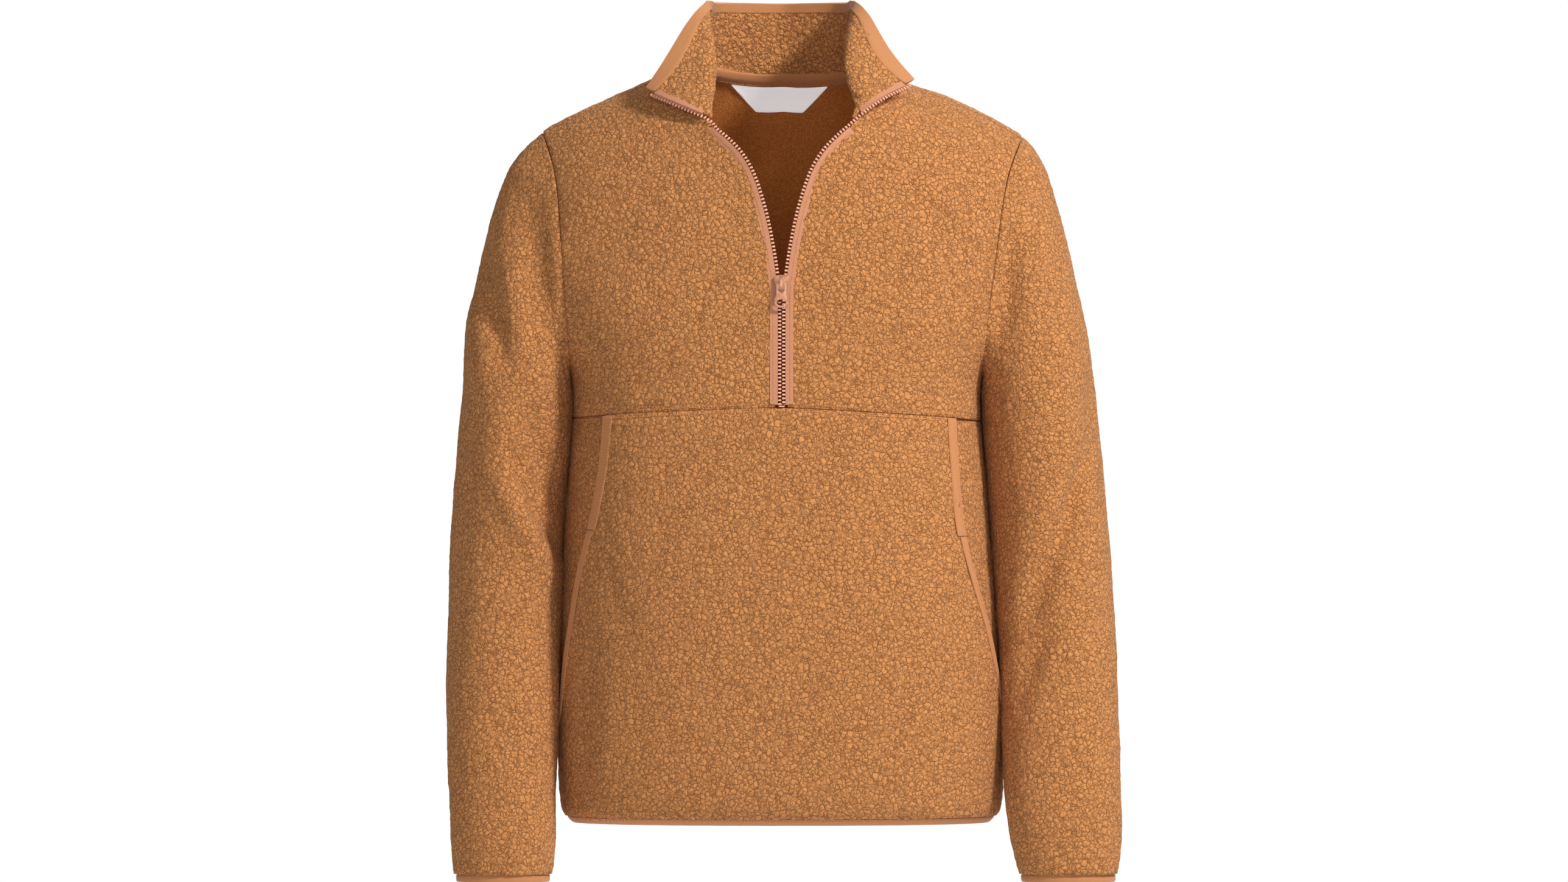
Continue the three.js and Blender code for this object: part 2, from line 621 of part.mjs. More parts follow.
// The back runs over the shoulder ridge to the shoulder seams.
function backPanel() {
  const drop = SHOULDER_SEAM + SEAM / 2;
  const edge = (side) => {
    const armhole = armholeEdge(side, "back");
    const ridge = armhole[armhole.length - 1];
    return evenly(
      [
        sideEdge(side, "back", HEM, HEM + 5),
        sideEdge(side, "back", HEM + 5, HEM + 15),
        sideEdge(side, "back", HEM + 15, ARMHOLE_BOTTOM),
        armhole,
        [ridge, { omega: ridge.omega, drop }],
      ],
      [1, 1, 12, 9, 3],
    );
  };
  const right = edge(-1);
  const left = edge(1);
  const hem = traced((t) => {
    const omega = mix(right[0].omega, left[0].omega, t);
    return { omega, drop: dropAt(omega, HEM, "back") };
  });
  const neck = (side) => traced((t) => neckline(side, mix(NECK_AT_SHOULDER + 0.004, 1, t)));
  const rightNeck = neck(-1);
  const leftNeck = neck(1).reverse();
  rightNeck[0].drop = drop;
  leftNeck[leftNeck.length - 1].drop = drop;
  const shoulder = (from, to) => traced((t) => ({ omega: mix(from.omega, to.omega, t), drop }), 20);
  const top = evenly(
    [
      shoulder(right[right.length - 1], rightNeck[0]),
      rightNeck,
      leftNeck,
      shoulder(leftNeck[leftNeck.length - 1], left[left.length - 1]),
    ],
    [7, 7, 7, 7],
  );
  add("back", panelWall(panelGrid(evenly([hem], [28]), top, right, left), BACK_OUT), "fleece");
}

// Lower front and pocket, which share their columns

const LOWER_ROWS = 14;
const POCKET_COLUMNS = 18;
const STRIP_COLUMNS = 3;

function pocketEdgeAngle(side, z) {
  const degrees = column(POCKET_EDGE, "z", side < 0 ? "right" : "left", z);
  return Math.min(degrees * DEGREE, sideAngle(z, "front"));
}

// The height of a row at an angle across. The lowest rows lie close together, where the hem draws in.
function lowerZ(row, omega) {
  const top = waistZ(omega) - SEAM / 2;
  if (row <= 2) return HEM + [0, 5, 15][row];
  return mix(HEM + 15, top, (row - 2) / (LOWER_ROWS - 2));
}

// The pocket's edges at a row, as angles across.
function pocketEnds(row) {
  return [-1, 1].map((side) => {
    let omega = 60 * DEGREE;
    for (let i = 0; i < 6; i++) omega = pocketEdgeAngle(side, lowerZ(row, side * omega));
    return side * omega;
  });
}

function lowerFront() {
  const grid = [];
  for (let row = 0; row <= LOWER_ROWS; row++) {
    const [right, left] = pocketEnds(row).map((omega) => clamp(omega, -POCKET_CAP, POCKET_CAP));
    const points = [];
    for (let c = 0; c <= POCKET_COLUMNS + 2 * STRIP_COLUMNS; c++) {
      const fromRight = c / STRIP_COLUMNS;
      const fromLeft = (POCKET_COLUMNS + 2 * STRIP_COLUMNS - c) / STRIP_COLUMNS;
      const covered = Math.min(1, fromRight, fromLeft);
      let omega = mix(right, left, (c - STRIP_COLUMNS) / POCKET_COLUMNS);
      const z = lowerZ(row, omega);
      if (fromRight < 1) omega = mix(-sideAngle(z, "front"), right, fromRight);
      if (fromLeft < 1) omega = mix(sideAngle(z, "front"), left, fromLeft);
      const flush = smoothstep(z, POCKET_EDGE[0].z + 4, POCKET_EDGE[3].z + 10);
      const deep = 1 - flush * (1 - smoothstep(covered, 0, 1));
      const at = lowerZ(row, omega);
      points.push(bodyAt(omega, dropAt(omega, at, "front"), (FLEECE + POCKET_UNDER) * deep));
    }
    grid.push(points);
  }
  add("front_lower", wall(grid, FLEECE, FRONT_OUT), "fleece");
}

// A point of the pocket's face, which stands off in the middle and along the hand opening.
function pocketPoint(omega, z) {
  const point = bodyAt(omega, dropAt(omega, z, "front"));
  const edge = pocketEdgeAngle(Math.sign(omega) || 1, z);
  const share = Math.min(1, Math.abs(omega) / edge);
  const up = clamp((z - HEM) / (WAIST.middle - HEM), 0, 1);
  const open = Math.exp(-(((z - POCKET_OPEN.z) / POCKET_OPEN.half) ** 4));
  const puff = POCKET_PUFF * Math.sin(Math.PI * up) ** 0.8 * (1 - share ** 4);
  const gape = POCKET_OPEN.height * open * share ** 6;
  const out = outlineAt(omega, 2.5);
  return point.add(vec(gape * out.side, -puff - gape * out.out, 0));
}

function pocketPanel() {
  const grid = [];
  for (let row = 0; row <= LOWER_ROWS; row++) {
    const ends = pocketEnds(row);
    const [right, left] = ends.map((omega) => clamp(omega, -POCKET_CAP, POCKET_CAP));
    const angles = Array.from({ length: POCKET_COLUMNS + 1 }, (_, c) => mix(right, left, c / POCKET_COLUMNS));
    angles[0] = ends[0];
    angles[POCKET_COLUMNS] = ends[1];
    grid.push(angles.map((omega) => pocketPoint(omega, lowerZ(row, omega))));
  }
  add("kangaroo_pocket", wall(grid, FLEECE, FRONT_OUT), "fleece");
}

// Tape and binding on the pocket's slanted edges.
function pocketTrim(side, name) {
  const strip = (from, to, width, rows) => {
    const grid = [];
    for (let r = 0; r <= rows; r++) {
      const z = mix(from, to, r / rows);
      const edge = side * pocketEdgeAngle(side, z);
      const pace = pocketPoint(edge - side * 0.03, z).distanceTo(pocketPoint(edge, z)) / 0.03;
      grid.push([0.4, 0.5 * width, width].map((inwards) => pocketPoint(edge - (side * inwards) / pace, z)));
    }
    return wall(raised(grid, LAID_ON + TAPE, FRONT_OUT), TAPE, FRONT_OUT);
  };
  const top = waistZ(side * 50 * DEGREE) - 1.2;
  const step = POCKET_TAPE[name];
  add("pocket_tape_" + name, strip(step + 0.4, top, POCKET_TAPE.width, 8), "tape");
  add("pocket_binding_" + name, strip(POCKET_BINDING.bottom, step - 0.4, POCKET_BINDING.width, 14), "tape");
}

function hemBinding() {
  const columns = 40;
  const heights = [HEM_BINDING.to, (HEM_BINDING.to + HEM) / 2, HEM - SEAM];
  const grid = heights.map((z, r) =>
    Array.from({ length: columns }, (_, c) => {
      const turn = (c / columns) * 2 * Math.PI;
      const face = Math.cos(turn) < 0 ? "back" : "front";
      const section = outlineAt(Math.asin(Math.sin(turn)), column(BODY, "z", "square", z));
      const inset = HEM_BINDING.inset + (r === 1 ? -0.5 : 0.3);
      const x = column(BODY, "z", "shift", z) + (column(BODY, "z", "half", z) - inset) * section.side;
      const out = (column(BODY, "z", face, z) - inset) * section.out;
      return vec(x, face === "front" ? -out : out, z);
    }),
  );
  add("hem_binding", wall(grid, HEM_BINDING.thick, BACK_OUT, true), "tape");
}

// Sleeves

// A point of a sleeve's section. turn is 0 on the outer side and a quarter turn in front.
function sleeveSection(side, turn, z, inset = 0) {
  const rows = SLEEVE[side < 0 ? "right" : "left"];
  const at = (name) => column(rows, "z", name, z);
  const [outer, inner, front, back] = ["outer", "inner", "front", "back"].map(at);
  const share = (part) => Math.sign(part) * Math.abs(part) ** (2 / SLEEVE_SQUARE);
  const x = (outer + inner) / 2 + ((outer - inner) / 2 - inset) * share(Math.cos(turn));
  const y = (front + back) / 2 - ((back - front) / 2 - inset) * share(Math.sin(turn));
  return vec(side * x, y, z);
}

// The curve of the sleeve's cap at a turn, from the armhole to the first section.
function capCurve(side, turn) {
  const start = bodyPoint(armholePlace(side, turn));
  const end = sleeveSection(side, turn, SLEEVE_TOP);
  const reach = start.distanceTo(end);
  const leave = vec(side, 0, -CAP.slope).normalize().multiplyScalar(reach * CAP.leave);
  const below = sleeveSection(side, turn, SLEEVE_TOP - 25);
  const arrive = end.clone().sub(below).normalize().multiplyScalar(reach * CAP.arrive);
  const curve = new THREE.CubicBezierCurve3(start, start.clone().add(leave), end.clone().add(arrive), end);
  return { curve, first: 1.1 / (3 * reach * CAP.leave) };
}

function sleeve(side, name) {
  const around = 22;
  const capRows = 10;
  const armRows = 16;
  const turns = Array.from({ length: around }, (_, c) => (c / around) * 2 * Math.PI);
  const caps = turns.map((turn) => capCurve(side, turn));
  const grid = [];
  for (let r = 0; r < capRows + armRows; r++) {
    const z = mix(SLEEVE_TOP, SLEEVE_END, (r - capRows) / (armRows - 1));
    grid.push(
      turns.map((turn, c) => {
        const t = mix(Math.min(0.15, caps[c].first), 1, r / capRows);
        const point = r < capRows ? caps[c].curve.getPoint(t) : sleeveSection(side, turn, z);
        const front = Math.sin(turn);
        point.y -= front * foldLift(FOLDS[name], front >= 0 ? "front" : "back", point.x, point.z);
        return point;
      }),
    );
  }
  add("sleeve_" + name, wall(grid, FLEECE, vec(-side, 0, 0), true), "fleece");
  const { from, to, inset, thick } = CUFF_BINDING;
  const ring = [to, (to + from) / 2, from].map((z, r) =>
    turns.map((turn) => {
      const point = sleeveSection(side, turn, SLEEVE_END, inset + (r === 1 ? -0.5 : 0.3));
      point.z = z;
      return point;
    }),
  );
  add("cuff_binding_" + name, wall(ring, thick, vec(-side, 0, 0), true), "tape");
}

// Collar

// The collar's outer face. around runs from the right wing's zip edge at 0 to the left one's at 1.
function collarAt(around, up) {
  const side = around < 0.5 ? -1 : 1;
  const at = clamp(1 - Math.abs(2 * around - 1), 0, 1);
  const value = (name) => column(COLLAR, "at", name, at);
  const tilt = smoothstep(0.5 - at, 0, 0.5) * WING_TILT * side;
  const foot = bodyPoint(neckline(side, at));
  const middle = vec(side * value("midX"), value("midY"), value("midZ") + tilt / 2);
  const top = vec(side * value("topX"), value("topY"), value("topZ") + tilt);
  return foot
    .multiplyScalar((1 - up) * (1 - 2 * up))
    .addScaledVector(middle, 4 * up * (1 - up))
    .addScaledVector(top, up * (2 * up - 1));
}

// The place in the collar at a distance from a wing's zip edge.
function collarInFrom(side, up, distance) {
  const step = 0.02;
  const edge = side < 0 ? 0 : 1;
  const pace = collarAt(edge, up).distanceTo(collarAt(edge - side * step, up)) / step;
  return edge - (side * distance) / pace;
}

const COLLAR_COLUMNS = 38;
const COLLAR_ROWS = 7;

// The collar's grid has a row at the depth of its binding and a column at the depth of its zip tapes.
function collarGrid() {
  return Array.from({ length: COLLAR_ROWS + 1 }, (_, r) => {
    const height = collarAt(0.5, 0).distanceTo(collarAt(0.5, 1));
    const bound = 1 - COLLAR_BINDING / height;
    const up = r === COLLAR_ROWS ? 1 : mix(COLLAR_FOOT, bound, r / (COLLAR_ROWS - 1));
    const place = (side, deep) => collarInFrom(side, up, PANEL_FROM_ZIP + deep);
    const from = place(-1, COLLAR_TAPE.deep);
    const to = place(1, COLLAR_TAPE.deep);
    const inner = COLLAR_COLUMNS - 2;
    const between = Array.from({ length: inner + 1 }, (_, c) => mix(from, to, c / inner));
    return [place(-1, 0), ...between, place(1, 0)].map((around) => collarAt(around, up));
  });
}

// Tape folded over an edge. Each frame has the edge's point and normal, and those at the tape's depth.
function foldedOver(frames, turned) {
  const over = LAID_ON + TAPE;
  const under = FLEECE + LAID_ON;
  const sections = frames.map(({ edge, normal, deep, deepNormal }) => {
    const away = edge.clone().sub(deep).normalize();
    const atEdge = (off, height) => edge.clone().addScaledVector(away, off).addScaledVector(normal, height);
    const atDepth = (height) => deep.clone().addScaledVector(deepNormal, height);
    return [
      atEdge(over, over),
      atDepth(over),
      atDepth(LAID_ON),
      atEdge(LAID_ON, LAID_ON),
      atEdge(LAID_ON, -under),
      atDepth(-under),
      atDepth(-under - TAPE),
      atEdge(over, -under - TAPE),
    ];
  });
  const depth = COLLAR_BINDING;
  const shape = [
    [-over, over],
    [depth, over],
    [depth, LAID_ON],
    [-LAID_ON, LAID_ON],
    [-LAID_ON, -under],
    [depth, -under],
    [depth, -under - TAPE],
    [-over, -under - TAPE],
  ];
  return loft(sections, shape, turned);
}

function collar() {
  const grid = collarGrid();
  add("collar", wall(grid, FLEECE, BACK_OUT), "fleece");
  const { normals } = gridNormals(grid, BACK_OUT);
  const top = COLLAR_ROWS;
  const rim = grid[top].map((edge, c) => ({
    edge,
    normal: normals[top][c],
    deep: grid[top - 1][c],
    deepNormal: normals[top - 1][c],
  }));
  add("collar_binding", foldedOver(rim, [4, 6]), "tape");
  for (const [name, side] of Object.entries(SIDES)) {
    const [c, d] = side < 0 ? [0, 1] : [COLLAR_COLUMNS, COLLAR_COLUMNS - 1];
    const between = (list, row, column) => {
      const below = Math.min(Math.floor(row), list.length - 2);
      return list[below][column].clone().lerp(list[below + 1][column], row - below);
    };
    const rows = [...Array(top - 2).keys()].map((r) => r + 1);
    const stations = [...rows, top - 1 - COLLAR_TAPE.clear].map((row) => ({
      edge: between(grid, row, c),
      normal: between(normals, row, c),
      deep: between(grid, row, d),
      deepNormal: between(normals, row, d),
    }));
    add("collar_zip_tape_" + name, foldedOver(stations, side < 0 ? [0, 2] : [4, 6]), "zipTape");
  }
}

// The depth of the cloth's inner face behind a place inside the neck.
function insideBack(x, z) {
  const cloth = ["back", "collar"].map((name) => parts.getObjectByName(name));
  cloth.forEach((mesh) => (mesh.material.side = THREE.DoubleSide));
  const hits = new THREE.Raycaster(vec(x, 0, z), BACK_OUT).intersectObjects(cloth);
  cloth.forEach((mesh) => (mesh.material.side = THREE.FrontSide));
  return hits[0].point.y;
}

// The tape over the back neck seam, and the plain label that hangs from it.
function neckTrim() {
  const strip = (heights, columns, place) =>
    heights.map((height) =>
      Array.from({ length: columns + 1 }, (_, c) => {
        const [x, z] = place(c / columns - 0.5, height);
        const off = Math.abs(height) === NECK_TAPE.clear ? NECK_TAPE.over : NECK_TAPE.off;
        return vec(x, insideBack(x, z) - off, z);
      }),
    );
  const seam = traced((t) => bodyPoint(neckline(t < 0.5 ? -1 : 1, 1 - 0.9 * Math.abs(t - 0.5))), 48);
  const seamZ = (x) => column(seam, "x", "z", x);
  const { above, below, half, clear } = NECK_TAPE;
  const heights = [-below, -(below + clear) / 2, -clear, clear, above];
  const tape = strip(heights, 18, (across, height) => {
    const x = 2 * half * across;
    return [x, seamZ(x) + height];
  });
  add("neck_tape", wall(tape, TAPE, BACK_OUT), "tape");
  const label = strip([1, 0.5, 0], 10, (across, down) => {
    const x = LABEL.x + across * mix(LABEL.top, LABEL.bottom, down);
    return [x, seamZ(x) - below - LAID_ON - down * LABEL.height];
  });
  add("label", wall(label, LABEL.thick, BACK_OUT), "label");
}

// Zip

function zipTape(side, name) {
  const rows = 26;
  const grid = [];
  for (let r = 0; r <= rows; r++) {
    const z = mix(WAIST.middle + SEAM + 0.4, NECK_FRONT.z - ZIP_TAPE.clearOfNeck, r / rows);
    grid.push(
      [0, 0.5, 1].map((t) => {
        const p = besideZip(z, mix(ZIP_TAPE.from, ZIP_TAPE.to, t));
        return bodyPoint(toBody(side * p.x, p.z, "front"));
      }),
    );
  }
  add("zip_tape_" + name, wall(raised(grid, LAID_ON + TAPE, FRONT_OUT), TAPE, FRONT_OUT), "zipTape");
}

// One row of teeth as a plain bead, from the waist seam to the collar's corner.
function teethRow(side, name) {
  const onBody = traced((t) => {
    const z = mix(TEETH.bottom, NECK_FRONT.z - 3, t);
    return bodyPoint(toBody(side * zipX(z), z, "front"));
  }, 24);
  const onCollar = traced((t) => collarAt(side < 0 ? 0 : 1, mix(0.05, 0.97, t)), 9);
  const curve = new THREE.CatmullRomCurve3([...onBody, ...onCollar], false, "centripetal");
  const w = TEETH.width / 2;
  const h = TEETH.thick / 2;
  const shape = [
    [-w, 0],
    [-w / 2, -h],
    [w / 2, -h],
    [w, 0],
    [w / 2, h],
    [-w / 2, h],
  ];
  const sections = traced((t) => {
    const tangent = curve.getTangentAt(t);
    const across = tangent.clone().cross(vec(0, -1, 0.3)).normalize();
    const out = across.clone().cross(tangent).normalize();
    if (out.y > 0) out.negate();
    const at = curve.getPointAt(t).addScaledVector(out, TEETH.out);
    return shape.map(([a, b]) => at.clone().addScaledVector(across, a).addScaledVector(out, b));
  }, 38);
  add("zip_teeth_" + name, loft(sections, shape), "teeth");
}

function bottomStop() {
  const z = TEETH.bottom - 1.1;
  const face = bodyPoint(toBody(0, z, "front")).y;
  const box = new THREE.BoxGeometry(5.4, 2.4, 1.1);
  box.translate(0, face - TEETH.out, z);
  add("zip_bottom_stop", box, "teeth");
}

// The hardware is made on a flat face at the pivot's height, and leaned to the cloth's slope.
const PIVOT_FACE = bodyPoint(toBody(0, PIVOT.z, "front")).y;
const ZIP_SLOPE = bodyPoint(toBody(0, SLIDER.bottom, "front")).y - bodyPoint(toBody(0, SLIDER.top, "front")).y;
const LEAN = -Math.atan(ZIP_SLOPE / (SLIDER.bottom - SLIDER.top));

function leaned(geometry) {
  geometry.translate(0, -PIVOT_FACE, -PIVOT.z);
  geometry.rotateX(LEAN);
  geometry.translate(0, PIVOT_FACE, PIVOT.z);
  return geometry;
}

const polygon = (points) => new THREE.Shape(points.map(([x, z]) => new THREE.Vector2(x, z)));

// A flat shape in X and Z, between two depths. out is the distance in front of the cloth's face.
function plateBetween(shape, out, thick) {
  const geometry = new THREE.ExtrudeGeometry(shape, { depth: thick, bevelEnabled: false, curveSegments: 6 });
  geometry.rotateX(QUARTER);
  geometry.translate(0, PIVOT_FACE - out, 0);
  return solidOf(geometry);
}

function slider() {
  const { top, bottom, wide, narrow, plate, front, back } = SLIDER;
  const w = wide / 2;
  const n = narrow / 2;
  const half = [
    [n, bottom],
    [n, bottom + 4.6],
    [w, top - 5.4],
    [w, top - 1.6],
    [w - 1.7, top - 0.3],
    [1.7, top],
  ];
  const mirrored = half.map(([x, z]) => [-x, z]).reverse();
  const face = polygon([...half, ...mirrored]);
  const post = polygon([
    [-POST.half, POST.from],
    [POST.half, POST.from],
    [POST.half, POST.to],
    [-POST.half, POST.to],
  ]);
  // The crown's side view, with its height along the first axis and its way out along the second
  const { from, to, height, wall: rim, width } = CROWN;
  const side = polygon([
    [from, -0.3],
    [from - 0.2, height - 1.3],
    [from - 0.8, height - 0.4],
    [from - 2, height],
    [to + 2.4, height],
    [to + 0.9, height - 0.5],
    [to + 0.1, height - 1.6],
    [to, -0.3],
    [to + rim, -0.3],
    [to + rim, height - rim - 0.5],
    [to + rim + 0.8, height - rim],
    [from - 2.2 - 0.8, height - rim],
    [from - 2.2, height - rim - 0.8],
    [from - 2.2, -0.3],
  ]);
  const crown = new THREE.ExtrudeGeometry(side, { depth: width, bevelEnabled: false });
  crown.applyMatrix4(new THREE.Matrix4().makeBasis(vec(0, 0, 1), vec(0, -1, 0), vec(1, 0, 0)));
  crown.translate(-width / 2, PIVOT_FACE - front - plate, 0);
  const whole = plateBetween(face, front, plate)
    .add(plateBetween(face, -back - plate * 0.7, plate * 0.7))
    .add(plateBetween(post, -back - 0.4, back + front + 0.8))
    .add(solidOf(crown));
  add("zip_slider", leaned(geometryOf(whole)), "slider");
}

// The tab hangs on the crown by its crossbar.
function pullTab() {
  const end = PIVOT.z - PULL.length;
  const arm = PULL.arm / 2;
  const foot = PULL.foot / 2;
  const slot = PULL.slot / 2;
  const tab = new THREE.Shape();
  tab.moveTo(-arm, PIVOT.z + 0.75);
  tab.lineTo(-arm, PIVOT.z - 9);
  tab.bezierCurveTo(-arm, PIVOT.z - 12, -foot, PIVOT.z - 13, -foot, end + 4.4);
  tab.bezierCurveTo(-foot, end + 1.4, -3.4, end, 0, end);
  tab.bezierCurveTo(3.4, end, foot, end + 1.4, foot, end + 4.4);
  tab.bezierCurveTo(foot, PIVOT.z - 13, arm, PIVOT.z - 12, arm, PIVOT.z - 9);
  tab.lineTo(arm, PIVOT.z + 0.75);
  const slotEnd = PIVOT.z - PULL.slotEnd;
  const opening = new THREE.Path([
    new THREE.Vector2(-slot, PIVOT.z - 0.65),
    new THREE.Vector2(slot, PIVOT.z - 0.65),
    new THREE.Vector2(slot, slotEnd + 1),
    new THREE.Vector2(slot - 1, slotEnd),
    new THREE.Vector2(1 - slot, slotEnd),
    new THREE.Vector2(-slot, slotEnd + 1),
  ]);
  const eye = new THREE.Path();
  eye.absellipse(0, end + PULL_EYE.up, PULL_EYE.wide / 2, PULL_EYE.high / 2, 0, 2 * Math.PI, true);
  tab.holes.push(opening, eye);
  const out = SLIDER.front + SLIDER.plate + PIVOT.out - PULL.thick / 2;
  add("zip_pull", leaned(geometryOf(plateBetween(tab, out, PULL.thick))), "slider");
}

for (const [name, side] of Object.entries(SIDES)) {
  chestPanel(side, name);
  sleeve(side, name);
  zipTape(side, name);
  teethRow(side, name);
  pocketTrim(side, name);
}
backPanel();
lowerFront();
pocketPanel();
hemBinding();
collar();
neckTrim();
bottomStop();
slider();
pullTab();

export default parts;
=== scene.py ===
"""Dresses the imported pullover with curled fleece, tapes, a moulded zip and its stitches, in a pale studio."""

import json
import logging
import math
from dataclasses import dataclass, field
from enum import Enum
from typing import Callable, Iterable, Optional

import bpy
import numpy as np
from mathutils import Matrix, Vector
from mathutils.bvhtree import BVHTree
from mathutils.kdtree import KDTree

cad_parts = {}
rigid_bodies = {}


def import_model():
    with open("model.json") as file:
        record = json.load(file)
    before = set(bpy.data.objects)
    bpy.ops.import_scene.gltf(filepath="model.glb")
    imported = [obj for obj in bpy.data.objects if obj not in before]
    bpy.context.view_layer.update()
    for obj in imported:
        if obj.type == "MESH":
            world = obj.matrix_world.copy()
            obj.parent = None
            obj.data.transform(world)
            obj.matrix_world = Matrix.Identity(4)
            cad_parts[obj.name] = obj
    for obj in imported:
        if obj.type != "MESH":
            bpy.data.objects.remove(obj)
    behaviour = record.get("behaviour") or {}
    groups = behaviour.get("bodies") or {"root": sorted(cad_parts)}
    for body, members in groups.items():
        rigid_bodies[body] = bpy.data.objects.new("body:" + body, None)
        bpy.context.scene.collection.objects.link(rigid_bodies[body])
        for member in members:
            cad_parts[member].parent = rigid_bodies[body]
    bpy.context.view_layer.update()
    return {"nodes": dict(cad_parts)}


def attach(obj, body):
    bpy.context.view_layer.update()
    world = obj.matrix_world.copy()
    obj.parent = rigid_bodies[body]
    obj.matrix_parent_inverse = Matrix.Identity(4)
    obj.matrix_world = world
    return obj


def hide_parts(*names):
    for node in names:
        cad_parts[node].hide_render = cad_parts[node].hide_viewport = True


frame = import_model()

LOG = logging.getLogger("pullover")
MM = 0.001
SIDES = {"right": -1, "left": 1}
GARMENT = "garment"
TAB = "pull_tab"
WELD = 2e-5  # vertices of one place on a node lie closer than this, in metres
WAIST = -294.5 * MM
WAIST_DROP = {"right": 8.5 * MM, "left": 11.5 * MM}
BODY_HALF = 187 * MM
ARMPIT = -265 * MM
UPPER_PIECES = (  # what the collar's wings take with them
    "fleece_chest", "fleece_back", "fleece_collar", "fleece_sleeve",
    "collar_binding_tape", "woven_", "moulded_teeth",
)
SEWN_PIECES = (  # what stitches lie on
    "fleece_", "woven_", "pocket_edge_",
    "collar_binding_tape", "neck_seam_tape", "hem_binding_tape", "cuff_binding_tape",
)
WAVE_PERIOD = 0.628  # period of the diagonal bands at a scale of 1
COLOUR_AND_HEIGHT = {"Color": "NodeSocketColor", "Height": "NodeSocketFloat"}


class Hold(Enum):
    HUNG = "hung"
    STRETCHED = "stretched"


class Facing(Enum):
    """The side of the garment on which a fold or a row of stitches lies."""

    FRONT = -1
    BACK = 1


# Tools of the bench


def take(*objects: bpy.types.Object) -> None:
    """Selects these objects alone, and makes the first one active.

    Args:
        objects: the objects to select.
    """
    bpy.ops.object.select_all(action="DESELECT")
    for obj in objects:
        obj.select_set(True)
    bpy.context.view_layer.objects.active = objects[0]


def apply_modifiers(obj: bpy.types.Object) -> None:
    """Applies all modifiers of an object in their order.

    Args:
        obj: the object that has them.
    """
    take(obj)
    for modifier in list(obj.modifiers):
        bpy.ops.object.modifier_apply(modifier=modifier.name)


def coordinates(mesh: bpy.types.Mesh) -> np.ndarray:
    """Reads a mesh's vertices.

    Args:
        mesh: the mesh.

    Returns:
        One row of x, y and z for each vertex.
    """
    flat = np.empty(len(mesh.vertices) * 3)
    mesh.vertices.foreach_get("co", flat)
    return flat.reshape(-1, 3)


def move_vertices(mesh: bpy.types.Mesh, places: np.ndarray) -> None:
    """Writes a mesh's vertices.

    Args:
        mesh: the mesh.
        places: one row of x, y and z for each vertex.
    """
    mesh.vertices.foreach_set("co", places.reshape(-1))
    mesh.update()


def vertex_normals(mesh: bpy.types.Mesh) -> np.ndarray:
    """Reads a mesh's vertex normals.

    Args:
        mesh: the mesh.

    Returns:
        One unit row for each vertex.
    """
    flat = np.empty(len(mesh.vertices) * 3)
    mesh.vertex_normals.foreach_get("vector", flat)
    return flat.reshape(-1, 3)


def write_values(mesh: bpy.types.Mesh, name: str, values: np.ndarray) -> None:
    """Stores one number for each vertex under a name that materials can read.

    Args:
        mesh: the mesh.
        name: the attribute's name.
        values: the numbers.
    """
    attribute = mesh.attributes.get(name) or mesh.attributes.new(name, "FLOAT", "POINT")
    attribute.data.foreach_set("value", np.asarray(values, dtype=np.float32))


def read_values(mesh: bpy.types.Mesh, name: str) -> np.ndarray:
    """Reads the numbers stored for a mesh's vertices.

    Args:
        mesh: the mesh.
        name: the attribute's name.

    Returns:
        One number for each vertex.
    """
    values = np.empty(len(mesh.vertices), dtype=np.float32)
    mesh.attributes[name].data.foreach_get("value", values)
    return values


def smooth_step(values: np.ndarray, low: float, high: float) -> np.ndarray:
    """Rises softly from 0 at low to 1 at high.

    Args:
        values: where it is wanted.
        low: the value at which it starts to rise.
        high: the value at which it is 1.

    Returns:
        The risen values.
    """
    share = np.clip((values - low) / (high - low), 0, 1)
    return share * share * (3 - 2 * share)


def tree_of(places: np.ndarray) -> KDTree:
    """Makes a search tree of places.

    Args:
        places: one row of x, y and z for each place.

    Returns:
        The tree, which finds rows.
    """
    tree = KDTree(len(places))
    for row, place in enumerate(places):
        tree.insert(place, row)
    tree.balance()
    return tree


def copy_of_node(node: str, name: str, quads: bool = True) -> bpy.types.Object:
    """Copies a node's mesh into a new object, welded and with its quads joined again.

    Args:
        node: the node's name.
        name: the new object's name.
        quads: whether the triangles are joined to quads.

    Returns:
        The new object.
    """
    obj = bpy.data.objects.new(name, frame["nodes"][node].data.copy())
    obj.data.name = name
    obj.data.materials.clear()
    bpy.context.scene.collection.objects.link(obj)
    take(obj)
    if obj.data.has_custom_normals:
        bpy.ops.mesh.customdata_custom_splitnormals_clear()
    bpy.ops.object.mode_set(mode="EDIT")
    bpy.ops.mesh.select_all(action="SELECT")
    bpy.ops.mesh.remove_doubles(threshold=WELD)
    if quads:
        bpy.ops.mesh.tris_convert_to_quads(face_threshold=0.8, shape_threshold=1.2)
    bpy.ops.object.mode_set(mode="OBJECT")
    return obj


